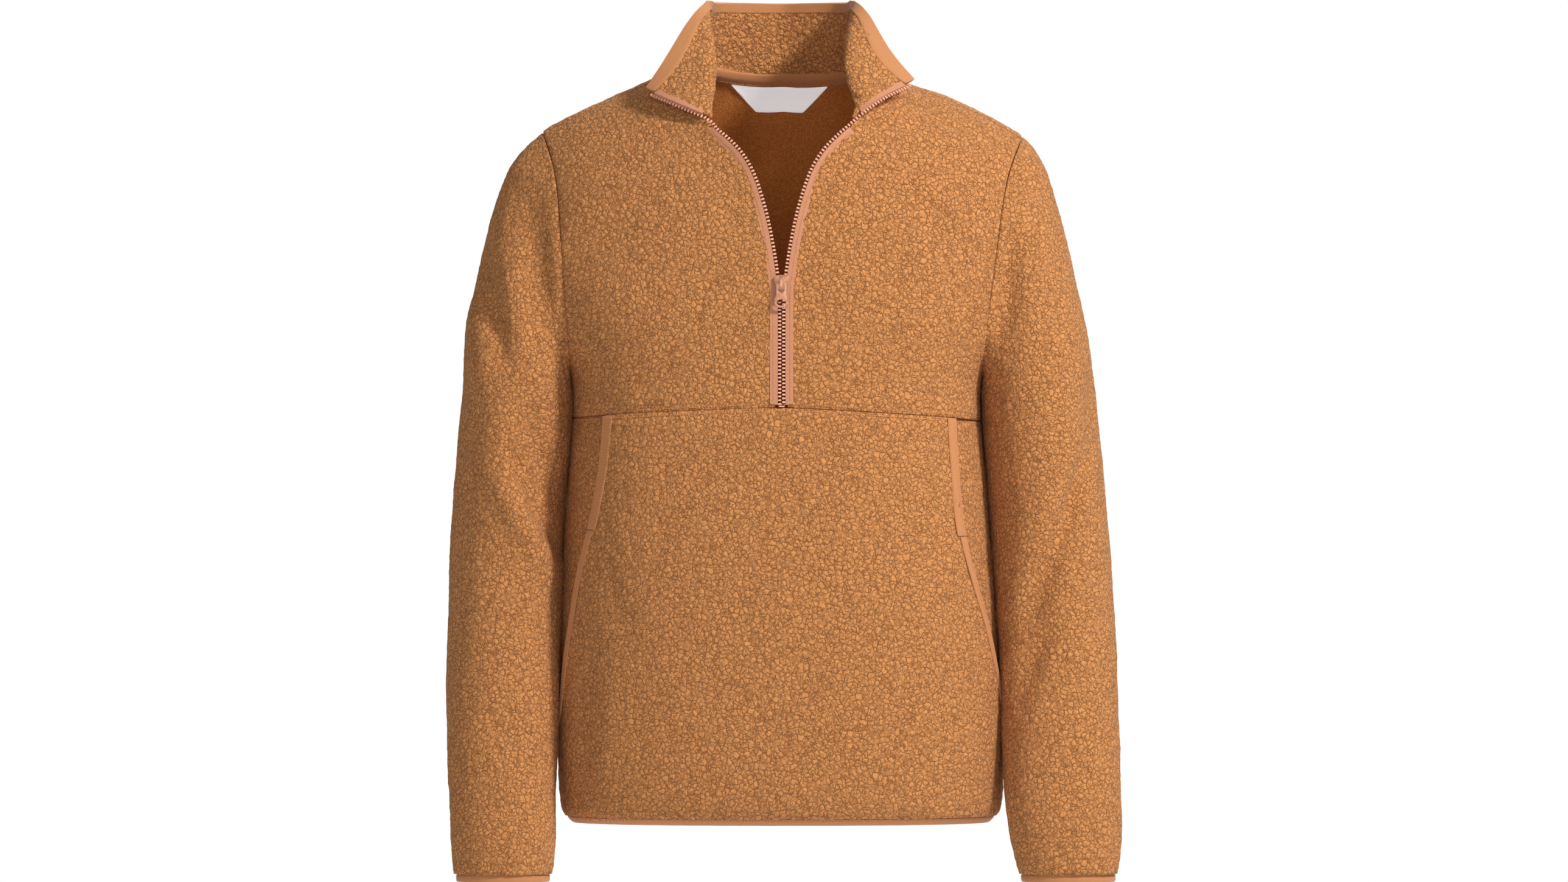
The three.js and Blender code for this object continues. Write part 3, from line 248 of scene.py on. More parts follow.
def crease_rims(obj: bpy.types.Object, angle: float = 50, crease: float = 0.9) -> list[np.ndarray]:
    """Creases the sharp edges of a wall, and finds the faces that lie between them.

    Args:
        obj: the wall.
        angle: the least turn of a sharp edge, in degrees.
        crease: how hard the edge stays under subdivision.

    Returns:
        The face indices of each smooth region, the largest region first.
    """
    mesh = obj.data
    faces_at: dict[tuple[int, int], list[int]] = {}
    for face in mesh.polygons:
        for key in face.edge_keys:
            faces_at.setdefault(key, []).append(face.index)
    limit = math.cos(math.radians(angle))
    parent = list(range(len(mesh.polygons)))

    def root(index: int) -> int:
        """Finds the face that stands for a region."""
        while parent[index] != index:
            parent[index] = parent[parent[index]]
            index = parent[index]
        return index

    creases = np.zeros(len(mesh.edges), dtype=np.float32)
    for edge in mesh.edges:
        around = faces_at[edge.key]
        if len(around) != 2:
            continue
        one, two = (mesh.polygons[i] for i in around)
        if one.normal.dot(two.normal) < limit:
            creases[edge.index] = crease
        else:
            parent[root(one.index)] = root(two.index)
    attribute = mesh.attributes.get("crease_edge") or mesh.attributes.new("crease_edge", "FLOAT", "EDGE")
    attribute.data.foreach_set("value", creases)
    regions: dict[int, list[int]] = {}
    for face in mesh.polygons:
        regions.setdefault(root(face.index), []).append(face.index)
    area = lambda faces: sum(mesh.polygons[i].area for i in faces)
    return [np.array(faces) for faces in sorted(regions.values(), key=area, reverse=True)]


def mark_outer_side(obj: bpy.types.Object, outward: Callable[[Vector], Vector]) -> None:
    """Stores for each vertex whether it is on the wall's outer side, as 1 or 0.

    Args:
        obj: the wall, before it is subdivided.
        outward: gives the way out of the garment at a place.
    """
    mesh = obj.data
    sides = crease_rims(obj)[:2]
    agreement = []
    for faces in sides:
        picked = [mesh.polygons[i] for i in faces]
        agreement.append(sum(f.normal.dot(outward(f.center).normalized()) * f.area for f in picked))
    outer = sides[int(np.argmax(agreement))]
    values = np.zeros(len(mesh.vertices))
    for index in outer:
        for vertex in mesh.polygons[index].vertices:
            values[vertex] = 1
    write_values(mesh, "outside", values)


def subdivide(obj: bpy.types.Object, levels: int) -> None:
    """Rounds a mesh by Catmull-Clark subdivision.

    Args:
        obj: the object.
        levels: how many times each face is divided.
    """
    modifier = obj.modifiers.new("Rounding", "SUBSURF")
    modifier.levels = levels
    modifier.render_levels = levels
    modifier.boundary_smooth = "PRESERVE_CORNERS"
    apply_modifiers(obj)


def cut_outer_faces(obj: bpy.types.Object, cuts: int, both: bool = False) -> None:
    """Cuts the faces of the outer side finer, which gives the pile its mesh.

    Args:
        obj: the wall.
        cuts: how many cuts each edge gets.
        both: whether the inner side is cut too.
    """
    if cuts < 1:
        return
    mesh = obj.data
    outside = read_values(mesh, "outside") > (-1 if both else 0.99)
    take(obj)
    bpy.ops.object.mode_set(mode="EDIT")
    bpy.ops.mesh.select_mode(type="FACE")
    bpy.ops.mesh.select_all(action="DESELECT")
    bpy.ops.object.mode_set(mode="OBJECT")
    chosen = [all(outside[v] for v in face.vertices) for face in mesh.polygons]
    mesh.polygons.foreach_set("select", chosen)
    bpy.ops.object.mode_set(mode="EDIT")
    bpy.ops.mesh.subdivide(number_cuts=cuts, smoothness=0, quadcorner="INNERVERT")
    bpy.ops.object.mode_set(mode="OBJECT")


def cut_edge(obj: bpy.types.Object, margin: float) -> np.ndarray:
    """Finds the vertices of a cloth's cut edges, which lie between its two sides.

    Args:
        obj: the wall, whose outer side is marked.
        margin: how far from both sides' marks an edge's mark has to be.

    Returns:
        The vertices' indices.
    """
    outside = read_values(obj.data, "outside")
    return np.nonzero((outside > margin) & (outside < 1 - margin))[0]


def rim_distance(obj: bpy.types.Object) -> np.ndarray:
    """Measures how far each vertex lies from the nearest cut edge of its cloth.

    Args:
        obj: the wall, whose outer side is marked.

    Returns:
        The distances in metres.
    """
    places = coordinates(obj.data)
    tree = tree_of(places[cut_edge(obj, 0.05)])
    return np.array([tree.find(place)[2] for place in places])


def close_seams(obj: bpy.types.Object, reach: float = 1.2 * MM, move: float = 0.2 * MM) -> None:
    """Lets the cut edges of a cloth bulge towards their neighbours, so that a seam shows no slit.

    Args:
        obj: the wall, whose outer side is marked.
        reach: how far from the edge the cloth follows.
        move: how far the edge moves.
    """
    places = coordinates(obj.data)
    normals = vertex_normals(obj.data)
    rim = cut_edge(obj, 0.02)
    tree = tree_of(places[rim])
    found = [tree.find(place)[1:] for place in places]
    near = rim[np.array([index for index, _ in found])]
    pull = np.clip(1 - np.array([far for _, far in found]) / reach, 0, 1)
    move_vertices(obj.data, places + normals[near] * (move * pull)[:, None])


def weight_group(obj: bpy.types.Object, name: str, weights: np.ndarray, steps: int = 12) -> None:
    """Makes a vertex group from weights, in even steps.

    Args:
        obj: the object.
        name: the group's name.
        weights: one weight from 0 to 1 for each vertex.
        steps: how many steps the weights are rounded to.
    """
    group = obj.vertex_groups.new(name=name)
    rounded = np.round(np.clip(weights, 0, 1) * steps).astype(int)
    for step in range(1, steps + 1):
        group.add(np.nonzero(rounded == step)[0].tolist(), step / steps, "REPLACE")


def bevel_edges(obj: bpy.types.Object, width: float, segments: int = 2, angle: float = 35) -> None:
    """Rounds the sharp edges of a hard piece.

    Args:
        obj: the object.
        width: the bevel's width in metres.
        segments: the bevel's steps.
        angle: the least turn of an edge that is rounded, in degrees.
    """
    modifier = obj.modifiers.new("Edges", "BEVEL")
    modifier.width = width
    modifier.segments = segments
    modifier.limit_method = "ANGLE"
    modifier.angle_limit = math.radians(angle)
    apply_modifiers(obj)
    take(obj)
    bpy.ops.object.shade_smooth_by_angle(angle=math.radians(32))


def hand_over(
    obj: bpy.types.Object, nodes: Iterable[str] = (), body: str = GARMENT
) -> None:
    """Rides a finished piece on its body, and hides the solids that it stands for.

    Args:
        obj: the piece.
        nodes: the nodes that it replaces.
        body: the body that it moves with.
    """
    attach(obj, body)
    if nodes:
        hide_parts(*nodes)
    LOG.info("%s: %d faces", obj.name, len(obj.data.polygons))


# Materials


class Bench:
    """Builds a node tree from short calls."""

    def __init__(self, tree: bpy.types.NodeTree) -> None:
        """Keeps the tree.

        Args:
            tree: the tree that is built.
        """
        self.tree = tree

    def node(self, kind: str, sockets: Optional[dict] = None, **settings: object) -> bpy.types.Node:
        """Adds a node, sets it, and fills or links its inputs.

        Args:
            kind: the node's type.
            sockets: values or output sockets for its inputs, by name or number.
            settings: the node's own settings.

        Returns:
            The node.
        """
        made = self.tree.nodes.new(kind)
        for name, value in settings.items():
            setattr(made, name, value)
        self.fill(made, sockets or {})
        return made

    def fill(self, node: bpy.types.Node, sockets: dict) -> None:
        """Fills or links a node's inputs.

        Args:
            node: the node.
            sockets: values or output sockets for its inputs, by name or number.
        """
        for name, value in sockets.items():
            if isinstance(value, bpy.types.NodeSocket):
                self.tree.links.new(value, node.inputs[name])
            else:
                node.inputs[name].default_value = value

    def place(self) -> bpy.types.NodeSocket:
        """Adds the place on the piece, in the piece's own coordinates."""
        return self.node("ShaderNodeTexCoord").outputs["Object"]

    def bump(self, height: object, strength: float, distance: float) -> bpy.types.NodeSocket:
        """Adds a Bump node.

        Args:
            height: its height.
            strength: its strength.
            distance: the height of 1 in metres.

        Returns:
            The normal.
        """
        sockets = {"Height": height, "Strength": strength, "Distance": distance}
        return self.node("ShaderNodeBump", sockets).outputs["Normal"]

    def math(self, operation: str, *values: object, clamp: bool = False) -> bpy.types.NodeSocket:
        """Adds a Math node.

        Args:
            operation: its operation.
            values: its inputs in their order.
            clamp: whether the result stays from 0 to 1.

        Returns:
            Its output.
        """
        sockets = dict(enumerate(values))
        return self.node("ShaderNodeMath", sockets, operation=operation, use_clamp=clamp).outputs[0]

    def times(self, one: object, two: object) -> bpy.types.NodeSocket:
        """Multiplies two values."""
        return self.math("MULTIPLY", one, two)

    def plus(self, one: object, two: object, clamp: bool = False) -> bpy.types.NodeSocket:
        """Adds two values."""
        return self.math("ADD", one, two, clamp=clamp)

    def vector(self, operation: str, sockets: dict) -> bpy.types.NodeSocket:
        """Adds a Vector Math node."""
        return self.node("ShaderNodeVectorMath", sockets, operation=operation).outputs[0]

    def noise(
        self, place: object, scale: object, detail: float, rough: float = 0.5, output: str = "Fac"
    ) -> bpy.types.NodeSocket:
        """Adds a Noise node.

        Args:
            place: where it is read.
            scale: its scale.
            detail: its detail.
            rough: its roughness.
            output: which of its outputs is wanted.

        Returns:
            That output.
        """
        sockets = {"Vector": place, "Scale": scale, "Detail": detail, "Roughness": rough}
        return self.node("ShaderNodeTexNoise", sockets).outputs[output]

    def remap(
        self, value: object, low: float, high: float, to_low: float = 0, to_high: float = 1
    ) -> bpy.types.NodeSocket:
        """Adds a Map Range node with a soft step.

        Args:
            value: its input.
            low: the input's lower end.
            high: the input's upper end.
            to_low: the output at the lower end.
            to_high: the output at the upper end.

        Returns:
            Its output.
        """
        sockets = {0: value, 1: low, 2: high, 3: to_low, 4: to_high}
        return self.node("ShaderNodeMapRange", sockets, interpolation_type="SMOOTHSTEP").outputs[0]

    def blend(self, share: object, one: object, two: object) -> bpy.types.NodeSocket:
        """Adds a Mix node for colours.

        Args:
            share: how much of the second colour shows.
            one: the first colour.
            two: the second colour.

        Returns:
            Its output.
        """
        return self.node("ShaderNodeMix", {0: share, 6: one, 7: two}, data_type="RGBA").outputs[2]


def new_group(
    name: str, inputs: dict[str, tuple[str, object]], outputs: dict[str, str]
) -> tuple[Bench, dict, bpy.types.Node]:
    """Starts a shader node group with named sockets.

    Args:
        name: the group's name.
        inputs: each input's socket type and default, by name.
        outputs: each output's socket type, by name.

    Returns:
        The bench, the group's inputs by name, and its output node.
    """
    tree = bpy.data.node_groups.new(name, "ShaderNodeTree")
    for label, (kind, default) in inputs.items():
        socket = tree.interface.new_socket(label, in_out="INPUT", socket_type=kind)
        if default is not None:
            socket.default_value = default
    for label, kind in outputs.items():
        tree.interface.new_socket(label, in_out="OUTPUT", socket_type=kind)
    bench = Bench(tree)
    start = bench.node("NodeGroupInput")
    end = bench.node("NodeGroupOutput")
    return bench, {label: start.outputs[label] for label in inputs}, end


def curled_pile_group() -> bpy.types.NodeTree:
    """Builds the pattern of curled pile: soft tufts, and thin cracks between some of them, with painted shade
    darkening the cracks and the low parts of the tufts.

    Returns:
        The node group.
    """
    inputs = {
        "Place": ("NodeSocketVector", None),
        "Curl Size": ("NodeSocketFloat", 0.005),
        "Light Pile": ("NodeSocketColor", None),
        "Deep Pile": ("NodeSocketColor", None),
    }
    bench, given, end = new_group("curled_pile", inputs, COLOUR_AND_HEIGHT)
    rate = bench.math("DIVIDE", 1.0, given["Curl Size"])
    place = given["Place"]
    wander = bench.noise(place, bench.times(rate, 1.1), 3.0, output="Color")
    centred = bench.vector("SUBTRACT", {0: wander, 1: (0.5, 0.5, 0.5)})
    offset = bench.vector("SCALE", {0: centred, "Scale": bench.times(given["Curl Size"], 1.3)})
    warped = bench.vector("ADD", {0: place, 1: offset})

    def edges(scale: float, soft: float) -> bpy.types.NodeSocket:
        """Draws the outlines of a layer of plates."""
        sockets = {"Vector": warped, "Scale": bench.times(rate, scale), "Randomness": 1.0}
        far = bench.node("ShaderNodeTexVoronoi", sockets, feature="DISTANCE_TO_EDGE").outputs["Distance"]
        return bench.remap(far, 0.0, soft, 1.0, 0.0)

    plates = bench.node(
        "ShaderNodeTexVoronoi", {"Vector": warped, "Scale": rate, "Smoothness": 0.35}, feature="SMOOTH_F1"
    ).outputs["Distance"]
    curls = bench.node(
        "ShaderNodeTexVoronoi", {"Vector": warped, "Scale": bench.times(rate, 2.6)}, feature="F1"
    ).outputs["Distance"]
    patch = bench.noise(place, bench.times(rate, 0.9), 1.0)
    fine = bench.noise(place, bench.times(rate, 6.5), 4.0, 0.7)
    cracks = bench.times(edges(1.0, 0.1), bench.remap(patch, 0.34, 0.5))
    small = bench.times(edges(1.7, 0.09), bench.remap(patch, 0.56, 0.44, 0.0, 0.7))
    furrows = bench.math("MAXIMUM", cracks, small)
    height = bench.times(bench.remap(plates, 0.15, 0.75, 1.0, 0.0), 0.62)
    height = bench.plus(height, bench.times(bench.remap(curls, 0.1, 0.7, 1.0, 0.0), 0.12))
    height = bench.plus(height, bench.times(fine, 0.12))
    height = bench.math("SUBTRACT", height, bench.times(furrows, 0.45))
    # Painted shade: the cracks, the plates' sloping edges and the low fine grain darken towards the shaded
    # colour.
    shade = bench.times(furrows, 0.62)
    shade = bench.plus(shade, bench.remap(plates, 0.35, 0.85, 0.0, 0.06))
    shade = bench.plus(shade, bench.remap(fine, 0.6, 0.32, 0.0, 0.08), clamp=True)
    bench.fill(end, {"Color": bench.blend(shade, given["Light Pile"], given["Deep Pile"]), "Height": height})
    return bench.tree


def twill_group() -> bpy.types.NodeTree:
    """Builds the pattern of a fine twill tape: slanted ribs, broken by its threads.

    Returns:
        The node group.
    """
    inputs = {
        "Place": ("NodeSocketVector", None),
        "Rib Pitch": ("NodeSocketFloat", 0.001),
        "Light Yarn": ("NodeSocketColor", None),
        "Deep Yarn": ("NodeSocketColor", None),
    }
    bench, given, end = new_group("twill_tape", inputs, COLOUR_AND_HEIGHT)
    rate = bench.math("DIVIDE", WAVE_PERIOD, given["Rib Pitch"])
    ribs = bench.node(
        "ShaderNodeTexWave",
        {"Vector": given["Place"], "Scale": rate, "Distortion": 0.6, "Detail": 2.0, "Detail Scale": 3.0},
        wave_type="BANDS",
        bands_direction="DIAGONAL",
    ).outputs["Fac"]
    threads = bench.noise(given["Place"], bench.times(rate, 3.5), 3.0, 0.7)
    height = bench.plus(bench.times(ribs, 0.7), bench.times(threads, 0.5))
    shade = bench.remap(height, 0.85, 0.25, 0.0, 1.0)
    bench.fill(end, {"Color": bench.blend(shade, given["Light Yarn"], given["Deep Yarn"]), "Height": height})
    return bench.tree


Colour = tuple[float, float, float, float]


def paint(red: float, green: float, blue: float) -> Colour:
    """Turns a screen colour of 0 to 255 into the renderer's linear one.

    Args:
        red: the red part.
        green: the green part.
        blue: the blue part.

    Returns:
        The linear colour with full alpha.
    """
    linear = [((c / 255 + 0.055) / 1.055) ** 2.4 if c > 10 else c / 255 / 12.92 for c in (red, green, blue)]
    return (*linear, 1.0)


def start_material(name: str) -> tuple[bpy.types.Material, Bench, bpy.types.Node]:
    """Starts a material.

    Args:
        name: the material's name.

    Returns:
        The material, its bench and its shader.
    """
    material = bpy.data.materials.new(name)
    material.use_nodes = True
    return material, Bench(material.node_tree), material.node_tree.nodes["Principled BSDF"]


@dataclass(frozen=True)
class SherpaFinish:
    """Curled fleece outside, and its short brushed nap inside."""

    light: Colour = paint(209, 141, 84)
    # deep is the painted shade colour of the cracks and of the sunk pile.
    deep: Colour = paint(118, 62, 24)
    nap_light: Colour = paint(208, 132, 68)
    nap_deep: Colour = paint(178, 104, 46)
    curl_size: float = 4.7 * MM
    curl_height: float = 1.7 * MM
    sheen: float = 0.2
    sheen_tint: Colour = paint(255, 214, 170)

    def make(self, name: str, pile: bpy.types.NodeTree) -> bpy.types.Material:
        """Makes the material.

        Args:
            name: the material's name.
            pile: the curled pile's group.

        Returns:
            The material.
        """
        material, bench, shader = start_material(name)
        place = bench.place()
        curls = bench.node("ShaderNodeGroup", node_tree=pile)
        bench.fill(curls, {"Place": place, "Curl Size": self.curl_size})
        bench.fill(curls, {"Light Pile": self.light, "Deep Pile": self.deep})
        sunk = bench.node("ShaderNodeAttribute", attribute_name="sunk").outputs["Fac"]
        outside = bench.node("ShaderNodeAttribute", attribute_name="outside").outputs["Fac"]
        # Painted shade: the pile's colour darkens towards the deep colour where the displaced pile sank.
        shaded = bench.blend(bench.remap(sunk, 0.5, 1.0, 0.0, 0.14), curls.outputs["Color"], self.deep)
        tone = bench.noise(place, 700.0, 3.0)
        nap = bench.blend(bench.remap(tone, 0.35, 0.7), self.nap_deep, self.nap_light)
        is_out = bench.remap(outside, 0.3, 0.9)
        colour = bench.blend(is_out, nap, shaded)
        nap_height = bench.remap(is_out, 0.0, 1.0, 0.3, 0.0)
        height = bench.plus(bench.times(curls.outputs["Height"], is_out), bench.times(tone, nap_height))
        bench.fill(shader, {
            "Base Color": colour,
            "Normal": bench.bump(height, 1.0, self.curl_height),
            "Roughness": 0.95,
            "Specular IOR Level": 0.15,
            "Sheen Weight": self.sheen,
            "Sheen Roughness": 0.45,
            "Sheen Tint": self.sheen_tint,
        })
        return material


@dataclass(frozen=True)
class TapeFinish:
    """Woven twill tape or ribbon, which can glow a little as painted light."""

    light: Colour
    deep: Colour
    rib_pitch: float
    bump: float = 0.4
    roughness: float = 0.8
    sheen: float = 0.15
    painted_glow: float = 0.0
    rib_height: float = 0.25 * MM

    def make(self, name: str, twill: bpy.types.NodeTree) -> bpy.types.Material:
        """Makes the material.

        Args:
            name: the material's name.
            twill: the twill's group.

        Returns:
            The material.
        """
        material, bench, shader = start_material(name)
        weave = bench.node("ShaderNodeGroup", node_tree=twill)
        bench.fill(weave, {"Place": bench.place(), "Rib Pitch": self.rib_pitch})
        bench.fill(weave, {"Light Yarn": self.light, "Deep Yarn": self.deep})
        bench.fill(shader, {
            "Base Color": weave.outputs["Color"],
            "Normal": bench.bump(weave.outputs["Height"], self.bump, self.rib_height),
            "Roughness": self.roughness,
            "Sheen Weight": self.sheen,
            # Painted light: a white glow that makes the strip look brighter than the lamps make it.
            "Emission Color": (1.0, 1.0, 1.0, 1.0),
            "Emission Strength": self.painted_glow,
        })
        return material


@dataclass(frozen=True)
class HardFinish:
    """Moulded plastic or painted metal with a slightly uneven surface."""

    light: Colour
    deep: Colour
    roughness: float
    metallic: float = 0.0
    coat: float = 0.0
    grain_height: float = 0.1 * MM

    def make(self, name: str) -> bpy.types.Material:
        """Makes the material.

        Args:
            name: the material's name.

        Returns:
            The material.
        """
        material, bench, shader = start_material(name)
        place = bench.place()
        cloudy = bench.noise(place, 260.0, 3.0)
        grain = bench.noise(place, 2600.0, 2.0)
        colour = bench.blend(bench.remap(cloudy, 0.3, 0.75), self.deep, self.light)
        rough = bench.remap(grain, 0.2, 0.8, self.roughness - 0.06, self.roughness + 0.08)
        bench.fill(shader, {
            "Base Color": colour,
            "Roughness": rough,
            "Normal": bench.bump(grain, 0.12, self.grain_height),
            "Metallic": self.metallic,
            "Coat Weight": self.coat,
        })
        return material


@dataclass
class Wardrobe:
    """All materials of the garment, made once."""

    fleece: bpy.types.Material = field(init=False)
    binding: bpy.types.Material = field(init=False)
    zip_tape: bpy.types.Material = field(init=False)
    teeth: bpy.types.Material = field(init=False)
    metal: bpy.types.Material = field(init=False)
    label: bpy.types.Material = field(init=False)
    thread: bpy.types.Material = field(init=False)
    zip_thread: bpy.types.Material = field(init=False)

    def __post_init__(self) -> None:
        """Makes each material from its finish."""
        pile = curled_pile_group()
        twill = twill_group()
        self.fleece = SherpaFinish().make("sherpa_fleece", pile)
        tan, tan_deep = paint(202, 138, 86), paint(172, 108, 60)
        self.binding = TapeFinish(tan, tan_deep, 0.9 * MM).make("twill_binding", twill)
        rose, rose_deep = paint(204, 141, 102), paint(178, 114, 80)
        self.zip_tape = TapeFinish(rose, rose_deep, 1.0 * MM).make("zip_tape", twill)
        pink, pink_deep = paint(246, 186, 162), paint(230, 162, 136)
        self.teeth = HardFinish(pink, pink_deep, 0.3, 0.0, 0.3).make("moulded_teeth")
        copper, copper_deep = paint(206, 146, 108), paint(178, 118, 80)
        self.metal = HardFinish(copper, copper_deep, 0.3, 0.25, 0.4).make("painted_metal")
        white, white_deep = paint(250, 249, 252), paint(238, 236, 243)
        # The label glows a little as painted light, so that it shows brighter inside the neck.
        self.label = TapeFinish(white, white_deep, 0.5 * MM, 0.15, 0.6, 0.1, 0.34).make("label_satin", twill)
        self.thread = HardFinish(paint(214, 150, 96), paint(178, 112, 62), 0.7).make("sewing_thread")
        self.zip_thread = HardFinish(paint(206, 146, 110), paint(166, 106, 76), 0.7).make("zip_thread")


# Cloth


def waist_height(x: np.ndarray) -> np.ndarray:
    """Gives the height of the waist seam in front.

    Args:
        x: places across the body in metres.

    Returns:
        The heights in metres.
    """
    drop = np.where(x > 0, WAIST_DROP["left"], WAIST_DROP["right"])
    return WAIST - drop * np.clip(np.abs(x) / BODY_HALF, 0, 1) ** 1.25


@dataclass(frozen=True)
class Fold:
    """A soft trough or ridge along a line in the front view, in millimetres.

    lift is out of the cloth, or below zero into it, and wide is the fold's half width.
    """

    x0: float
    z0: float
    x1: float
    z1: float
    wide: float
    lift: float
    face: Facing = Facing.FRONT

    def height(self, places: np.ndarray) -> np.ndarray:
        """Gives how far the fold lifts the cloth at each place.

        Args:
            places: places in metres.

        Returns:
            The lifts in metres.
        """
        start = np.array([self.x0, self.z0]) * MM
        way = np.array([self.x1 - self.x0, self.z1 - self.z0]) * MM
        flat = places[:, [0, 2]] - start
        near = np.clip(flat @ way / (way @ way), 0, 1)
        away = np.linalg.norm(flat - near[:, None] * way, axis=1) / (self.wide * MM)
        taper = 0.35 + 0.65 * np.sin(np.pi * near)
        facing = smooth_step(places[:, 1] * self.face.value, -0.01, 0.015)
        return self.lift * MM * taper * np.exp(-away * away) * facing


@dataclass
class Pile:
    """The raised pile that is pushed out of the cloth, in metres."""

    tuft: float = 6.4 * MM
    tuft_depth: float = 0.9 * MM
    curl: float = 3.2 * MM
    curl_depth: float = 0.35 * MM
    swell: float = 42 * MM
    swell_depth: float = 1.8 * MM
    stand: float = 1.1 * MM

    def raise_on(self, obj: bpy.types.Object, weights: np.ndarray) -> None:
        """Pushes the pile out by three displacements, and stores how deep it stays sunk, which darkens the
        fleece as painted shade.

        Args:
            obj: the cloth.
            weights: how much pile each vertex gets.
        """
        mesh = obj.data
        normals = vertex_normals(mesh)
        before = coordinates(mesh) + normals * (weights * self.stand)[:, None]
        move_vertices(mesh, before)
        weight_group(obj, "pile", weights)
        self._push(obj, "tufts", "VORONOI", self.tuft, -self.tuft_depth, 0.35)
        self._push(obj, "curls", "CLOUDS", self.curl, self.curl_depth, 0.5)
        apply_modifiers(obj)
        raised = np.einsum("ij,ij->i", coordinates(mesh) - before, normals)
        reach = self.tuft_depth * 0.55
        # Stored only for the painted shade that darkens the pile where it sinks.
        write_values(mesh, "sunk", np.clip(0.5 - raised / reach * 0.5, 0, 1) * np.clip(weights * 2, 0, 1))
        self._push(obj, "swell", "CLOUDS", self.swell, self.swell_depth, 0.5)
        apply_modifiers(obj)
        obj.vertex_groups.clear()

    def _push(
        self, obj: bpy.types.Object, name: str, kind: str, size: float, strength: float, middle: float
    ) -> None:
        """Adds one displacement.

        Args:
            obj: the cloth.
            name: the displacement's name.
            kind: the texture's type.
            size: the pattern's size in metres.
            strength: how far it pushes out.
            middle: the pattern's value that stays in place.
        """
        texture = bpy.data.textures.get(f"pile_{name}") or bpy.data.textures.new(f"pile_{name}", kind)
        texture.noise_scale = size
        if kind == "VORONOI":
            texture.distance_metric = "DISTANCE"
        modifier = obj.modifiers.new(name, "DISPLACE")
        modifier.texture = texture
        modifier.texture_coords = "LOCAL"
        modifier.strength = strength
        modifier.mid_level = middle
        modifier.vertex_group = "pile"


@dataclass
class ClothPanel:
    """One cut piece of fleece, made on the form of its solid."""

    node: str
    name: str
    flat: tuple[float, float]
    area: Optional[float]
    outward: Callable[[Vector], Vector]
    cuts: int = 1
    levels: int = 2
    both_sides: bool = False
    folds: tuple[Fold, ...] = ()
    press: tuple[float, float] = (0.4 * MM, 4.5 * MM)
    hold: Hold = Hold.HUNG

    def build(self) -> bpy.types.Object:
        """Builds the panel's mesh with its folds and its pile.

        Returns:
            The panel.
        """
        obj = copy_of_node(self.node, self.name)
        mark_outer_side(obj, self.outward)
        subdivide(obj, self.levels)
        cut_outer_faces(obj, self.cuts, self.both_sides)
        close_seams(obj)
        self.lay_folds(obj)
        outside = read_values(obj.data, "outside")
        pressed = smooth_step(rim_distance(obj), *self.press) * self.off_waist(obj)
        nap = 1.0 if self.both_sides else 0.12 + 0.88 * smooth_step(outside, 0.5, 1.0)
        Pile().raise_on(obj, nap * (0.08 + 0.92 * pressed))
        if self.both_sides:
            write_values(obj.data, "outside", np.ones(len(obj.data.vertices)))
        take(obj)
        bpy.ops.object.shade_smooth()
        return obj

    def off_waist(self, obj: bpy.types.Object) -> np.ndarray:
        """Gives 0 on the band that the waist's stitches press flat in front, and 1 away from it."""
        places = coordinates(obj.data)
        away = np.abs(places[:, 2] - waist_height(places[:, 0]))
        front = smooth_step(-places[:, 1], 0.0, 0.03) * smooth_step(0.2 - np.abs(places[:, 0]), 0.0, 0.002)
        return 1 - front * (1 - smooth_step(away, 3.6 * MM, 6.4 * MM))

    def lay_folds(self, obj: bpy.types.Object) -> None:
        """Moves both sides of the cloth along its outward normals by the folds.

        Args:
            obj: the panel.
        """
        if not self.folds:
            return
        places = coordinates(obj.data)
        outside = read_values(obj.data, "outside")
        normals = vertex_normals(obj.data) * np.where(outside > 0.5, 1.0, -1.0)[:, None]
        lift = sum(fold.height(places) for fold in self.folds)
        easing = smooth_step(rim_distance(obj), 0.0, 14 * MM)
        move_vertices(obj.data, places + normals * (lift * easing)[:, None])

    def dress(self, obj: bpy.types.Object, wardrobe: Wardrobe) -> None:
        """Gives the panel its fleece, and hands it over to the garment in place of its solid.

        Args:
            obj: the panel.
            wardrobe: the materials.
        """
        obj.data.materials.append(wardrobe.fleece)
        hand_over(obj, [self.node])


def out_of_body(place: Vector) -> Vector:
    """Gives the way out of the body's tube, which is upwards over the shoulders."""
    return place - Vector((0, 0, min(place.z, -0.12)))


def out_of_sleeve(side: int) -> Callable[[Vector], Vector]:
    """Makes the function that gives the way out of a sleeve.

    Args:
        side: -1 for the right sleeve, 1 for the left.

    Returns:
        The function.
    """

    def outward(place: Vector) -> Vector:
        """Gives the way out of the sleeve's middle line."""
        deep = -0.05 * smooth_step(np.array(-place.z), 0.45, 0.7)
        return place - Vector((side * 0.24, float(deep), min(place.z, -0.2)))

    return outward


FRONT_FOLDS = (
    Fold(-171, -508, -175, -644, 9, -2.6),
    Fold(-153, -541, -156, -638, 10, 1.8),
    Fold(-158, -420, -128, -520, 11, -1.6),
    Fold(150, -390, 118, -480, 12, -1.7),
    Fold(160, -470, 140, -590, 12, -1.5),
    Fold(-60, -610, 40, -622, 22, 1.2),
)
CHEST_FOLDS = (
    Fold(-108, -104, -173, -154, 15, -2.2),
    Fold(-60, -190, -150, -238, 20, 1.6),
    Fold(104, -99, 164, -162, 16, -1.8),
    Fold(60, -196, 150, -232, 20, 1.5),
)
BACK_FOLDS = (
    Fold(-130, -162, -65, -270, 15, -2.6, Facing.BACK),
    Fold(136, -173, 76, -283, 15, -2.6, Facing.BACK),
    Fold(-76, -357, -91, -562, 17, -2.8, Facing.BACK),
    Fold(67, -378, 84, -605, 17, -2.8, Facing.BACK),
    Fold(-20, -420, -8, -600, 20, 2.2, Facing.BACK),
    Fold(162, -508, 166, -644, 11, -2.4, Facing.BACK),
)
